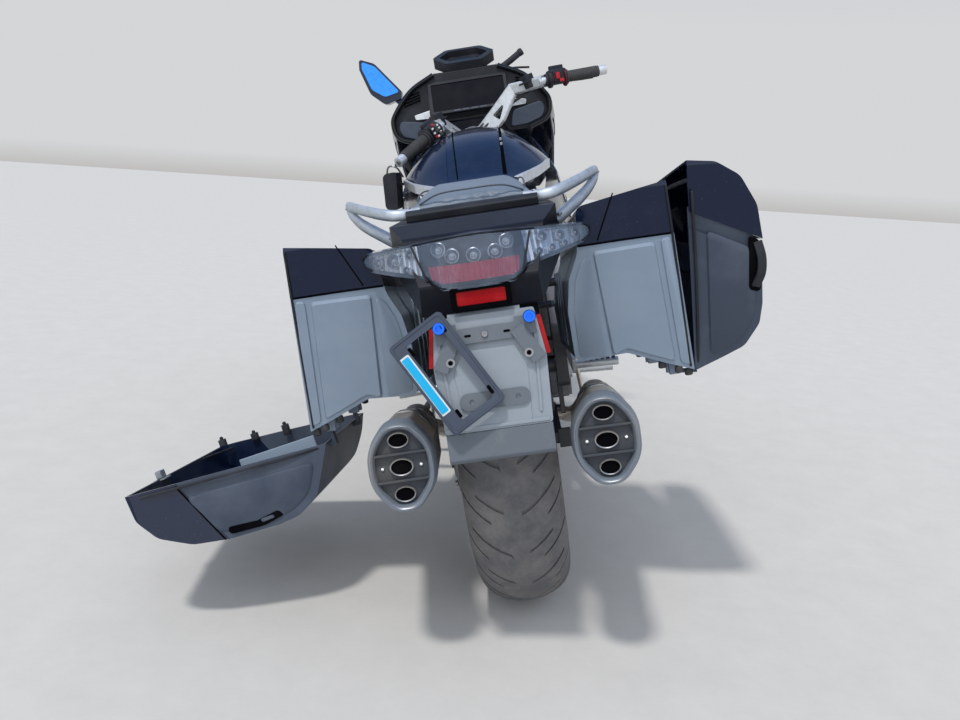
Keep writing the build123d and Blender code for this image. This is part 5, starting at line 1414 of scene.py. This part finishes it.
# Fairing seams lie on the panels; the right side's lines are given as (y, z) points.
FAIRING_NODES = ("side_fairings",)
FAIRING_SEAMS = [
    [(980, 780), (1180, 806), (1380, 850), (1560, 905), (1640, 915)],
    [(1000, 500), (1120, 468), (1260, 520), (1400, 640), (1500, 760)],
]
NOSE_SEAM = [(1360, 1060), (1500, 1000), (1640, 930)]
SCREW_PROFILE = [(9, -2), (9, 1.4), (7, 2.4), (4, 2.4), (3.6, 0.8), (0.2, 0.8)]
BESIDE_X = 600


def on_side(nodes, y, z, lift=0.0):
    """The place at y and z on the right side of some nodes, moved outward, or None."""
    place = meet(nodes, (BESIDE_X, y, z), (0, y, z))
    return None if place is None else Vector((place.x + lift, y, z))


def side_seam(nodes, line, steps=6):
    """A thin seam that follows a line of (y, z) points where it lies on the nodes."""
    points = []
    for first, second in zip(line, line[1:]):
        for step in range(steps):
            y, z = [low + (high - low) * step / steps for low, high in zip(first, second)]
            points.append(on_side(nodes, y, z, 0.3))
    points = [point for point in points if point is not None]
    return sweep(points, rectangle(5, 2.6, 0.8), 2, (1, 0, 0))


def fairing_details():
    # The seams are near-black strips laid on the panels: painted shade.
    seams = [side_seam(FAIRING_NODES, line) for line in FAIRING_SEAMS]
    seams.append(side_seam(("nose_fairing",), NOSE_SEAM))
    piece("fairing_seams", both(join(*seams)), "black_hole")
    screws = []
    for line in FAIRING_SEAMS:
        for y, z in (line[0], line[2]):
            place = on_side(FAIRING_NODES, y + 16, z - 26)
            if place is not None:
                screws.append(placed(turned(SCREW_PROFILE, 20), shift(*place) @ turn(90, "Y")))
    piece("fairing_screws", both(join(*screws)), "steel_dark")


# Camera, world, suns and floor.


def add_camera():
    data = bpy.data.cameras.new("camera")
    data.sensor_width = SENSOR_MM
    data.lens = FOCAL_PX / IMAGE_W_PX * SENSOR_MM
    camera = bpy.data.objects.new("camera", data)
    camera.location = CAMERA_AT
    camera.rotation_euler = Euler([math.radians(angle) for angle in CAMERA_TURN], "XYZ")
    bpy.context.scene.collection.objects.link(camera)
    bpy.context.scene.camera = camera


def add_world():
    """Pale horizon under a soft blue for the camera and for reflections; plain light for the rest."""
    world = bpy.data.worlds.new("world")
    bpy.context.scene.world = world
    world.use_nodes = True
    tree = world.node_tree
    tree.nodes.clear()
    source = add_node(tree, "ShaderNodeTexCoord")
    split = add_node(tree, "ShaderNodeSeparateXYZ")
    tree.links.new(source.outputs["Generated"], split.inputs["Vector"])
    height = split.outputs["Z"]
    sky = mix_colour(tree, remap(tree, height, 0.16, 0.80), WALL_COLOUR, SKY_HIGH)
    scenery = mix_colour(tree, remap(tree, height, -0.03, 0.0), GROUND_GLOW, sky)
    path = add_node(tree, "ShaderNodeLightPath")
    seen = path.outputs["Is Camera Ray"]
    for name in ("Is Glossy Ray", "Is Transmission Ray"):
        total = add_node(tree, "ShaderNodeMath", operation="MAXIMUM")
        tree.links.new(seen, total.inputs[0])
        tree.links.new(path.outputs[name], total.inputs[1])
        seen = total.outputs["Value"]
    back = add_node(tree, "ShaderNodeBackground")
    tree.links.new(mix_colour(tree, seen, DIFFUSE_SKY, scenery), back.inputs["Color"])
    output = add_node(tree, "ShaderNodeOutputWorld")
    tree.links.new(back.outputs["Background"], output.inputs["Surface"])


def add_sun(name, direction, strength, angle, colour):
    data = bpy.data.lights.new(name, "SUN")
    data.energy = strength
    data.angle = math.radians(angle)
    data.color = colour
    lamp = bpy.data.objects.new(name, data)
    lamp.rotation_euler = Vector(direction).to_track_quat("-Z", "Y").to_euler()
    bpy.context.scene.collection.objects.link(lamp)


def add_floor():
    bpy.ops.mesh.primitive_plane_add(size=FLOOR_M, location=(0.0, 0.0, 0.0))
    floor = bpy.context.object
    floor.name = "floor"
    material, tree, shader = new_material("floor")
    grain = noise(tree, coordinates(tree), 9.0, 9.0, 0.75)
    base = mix_colour(tree, remap(tree, grain, 0.35, 0.65), scale_colour(FLOOR_COLOUR, 0.94), FLOOR_COLOUR)
    feed(tree, shader, {"Base Color": base, "Roughness": 0.9, "Specular IOR Level": 0.2})
    floor.data.materials.append(material)


add_camera()
add_world()
add_sun("sun", SUN_WAY, SUN_STRENGTH, SUN_SIZE, SUN_COLOUR)
add_sun("fill", FILL_WAY, FILL_STRENGTH, FILL_SIZE, FILL_COLOUR)
add_floor()
bpy.context.scene.view_settings.view_transform = "Standard"
paint_all()
tail_lamp()
plate_details()
muffler_details()
tyres()
case_details()
lid_details()
grab_rails()
seats()
seat_seams()
bar_pieces()
cockpit_pieces()
bracket_pieces()
tank_pieces()
rear_wheel_pieces()
front_end_pieces()
headlamp_pieces()
engine_pieces()
radiator_pieces()
drive_pieces()
flank_pieces()
fairing_details()
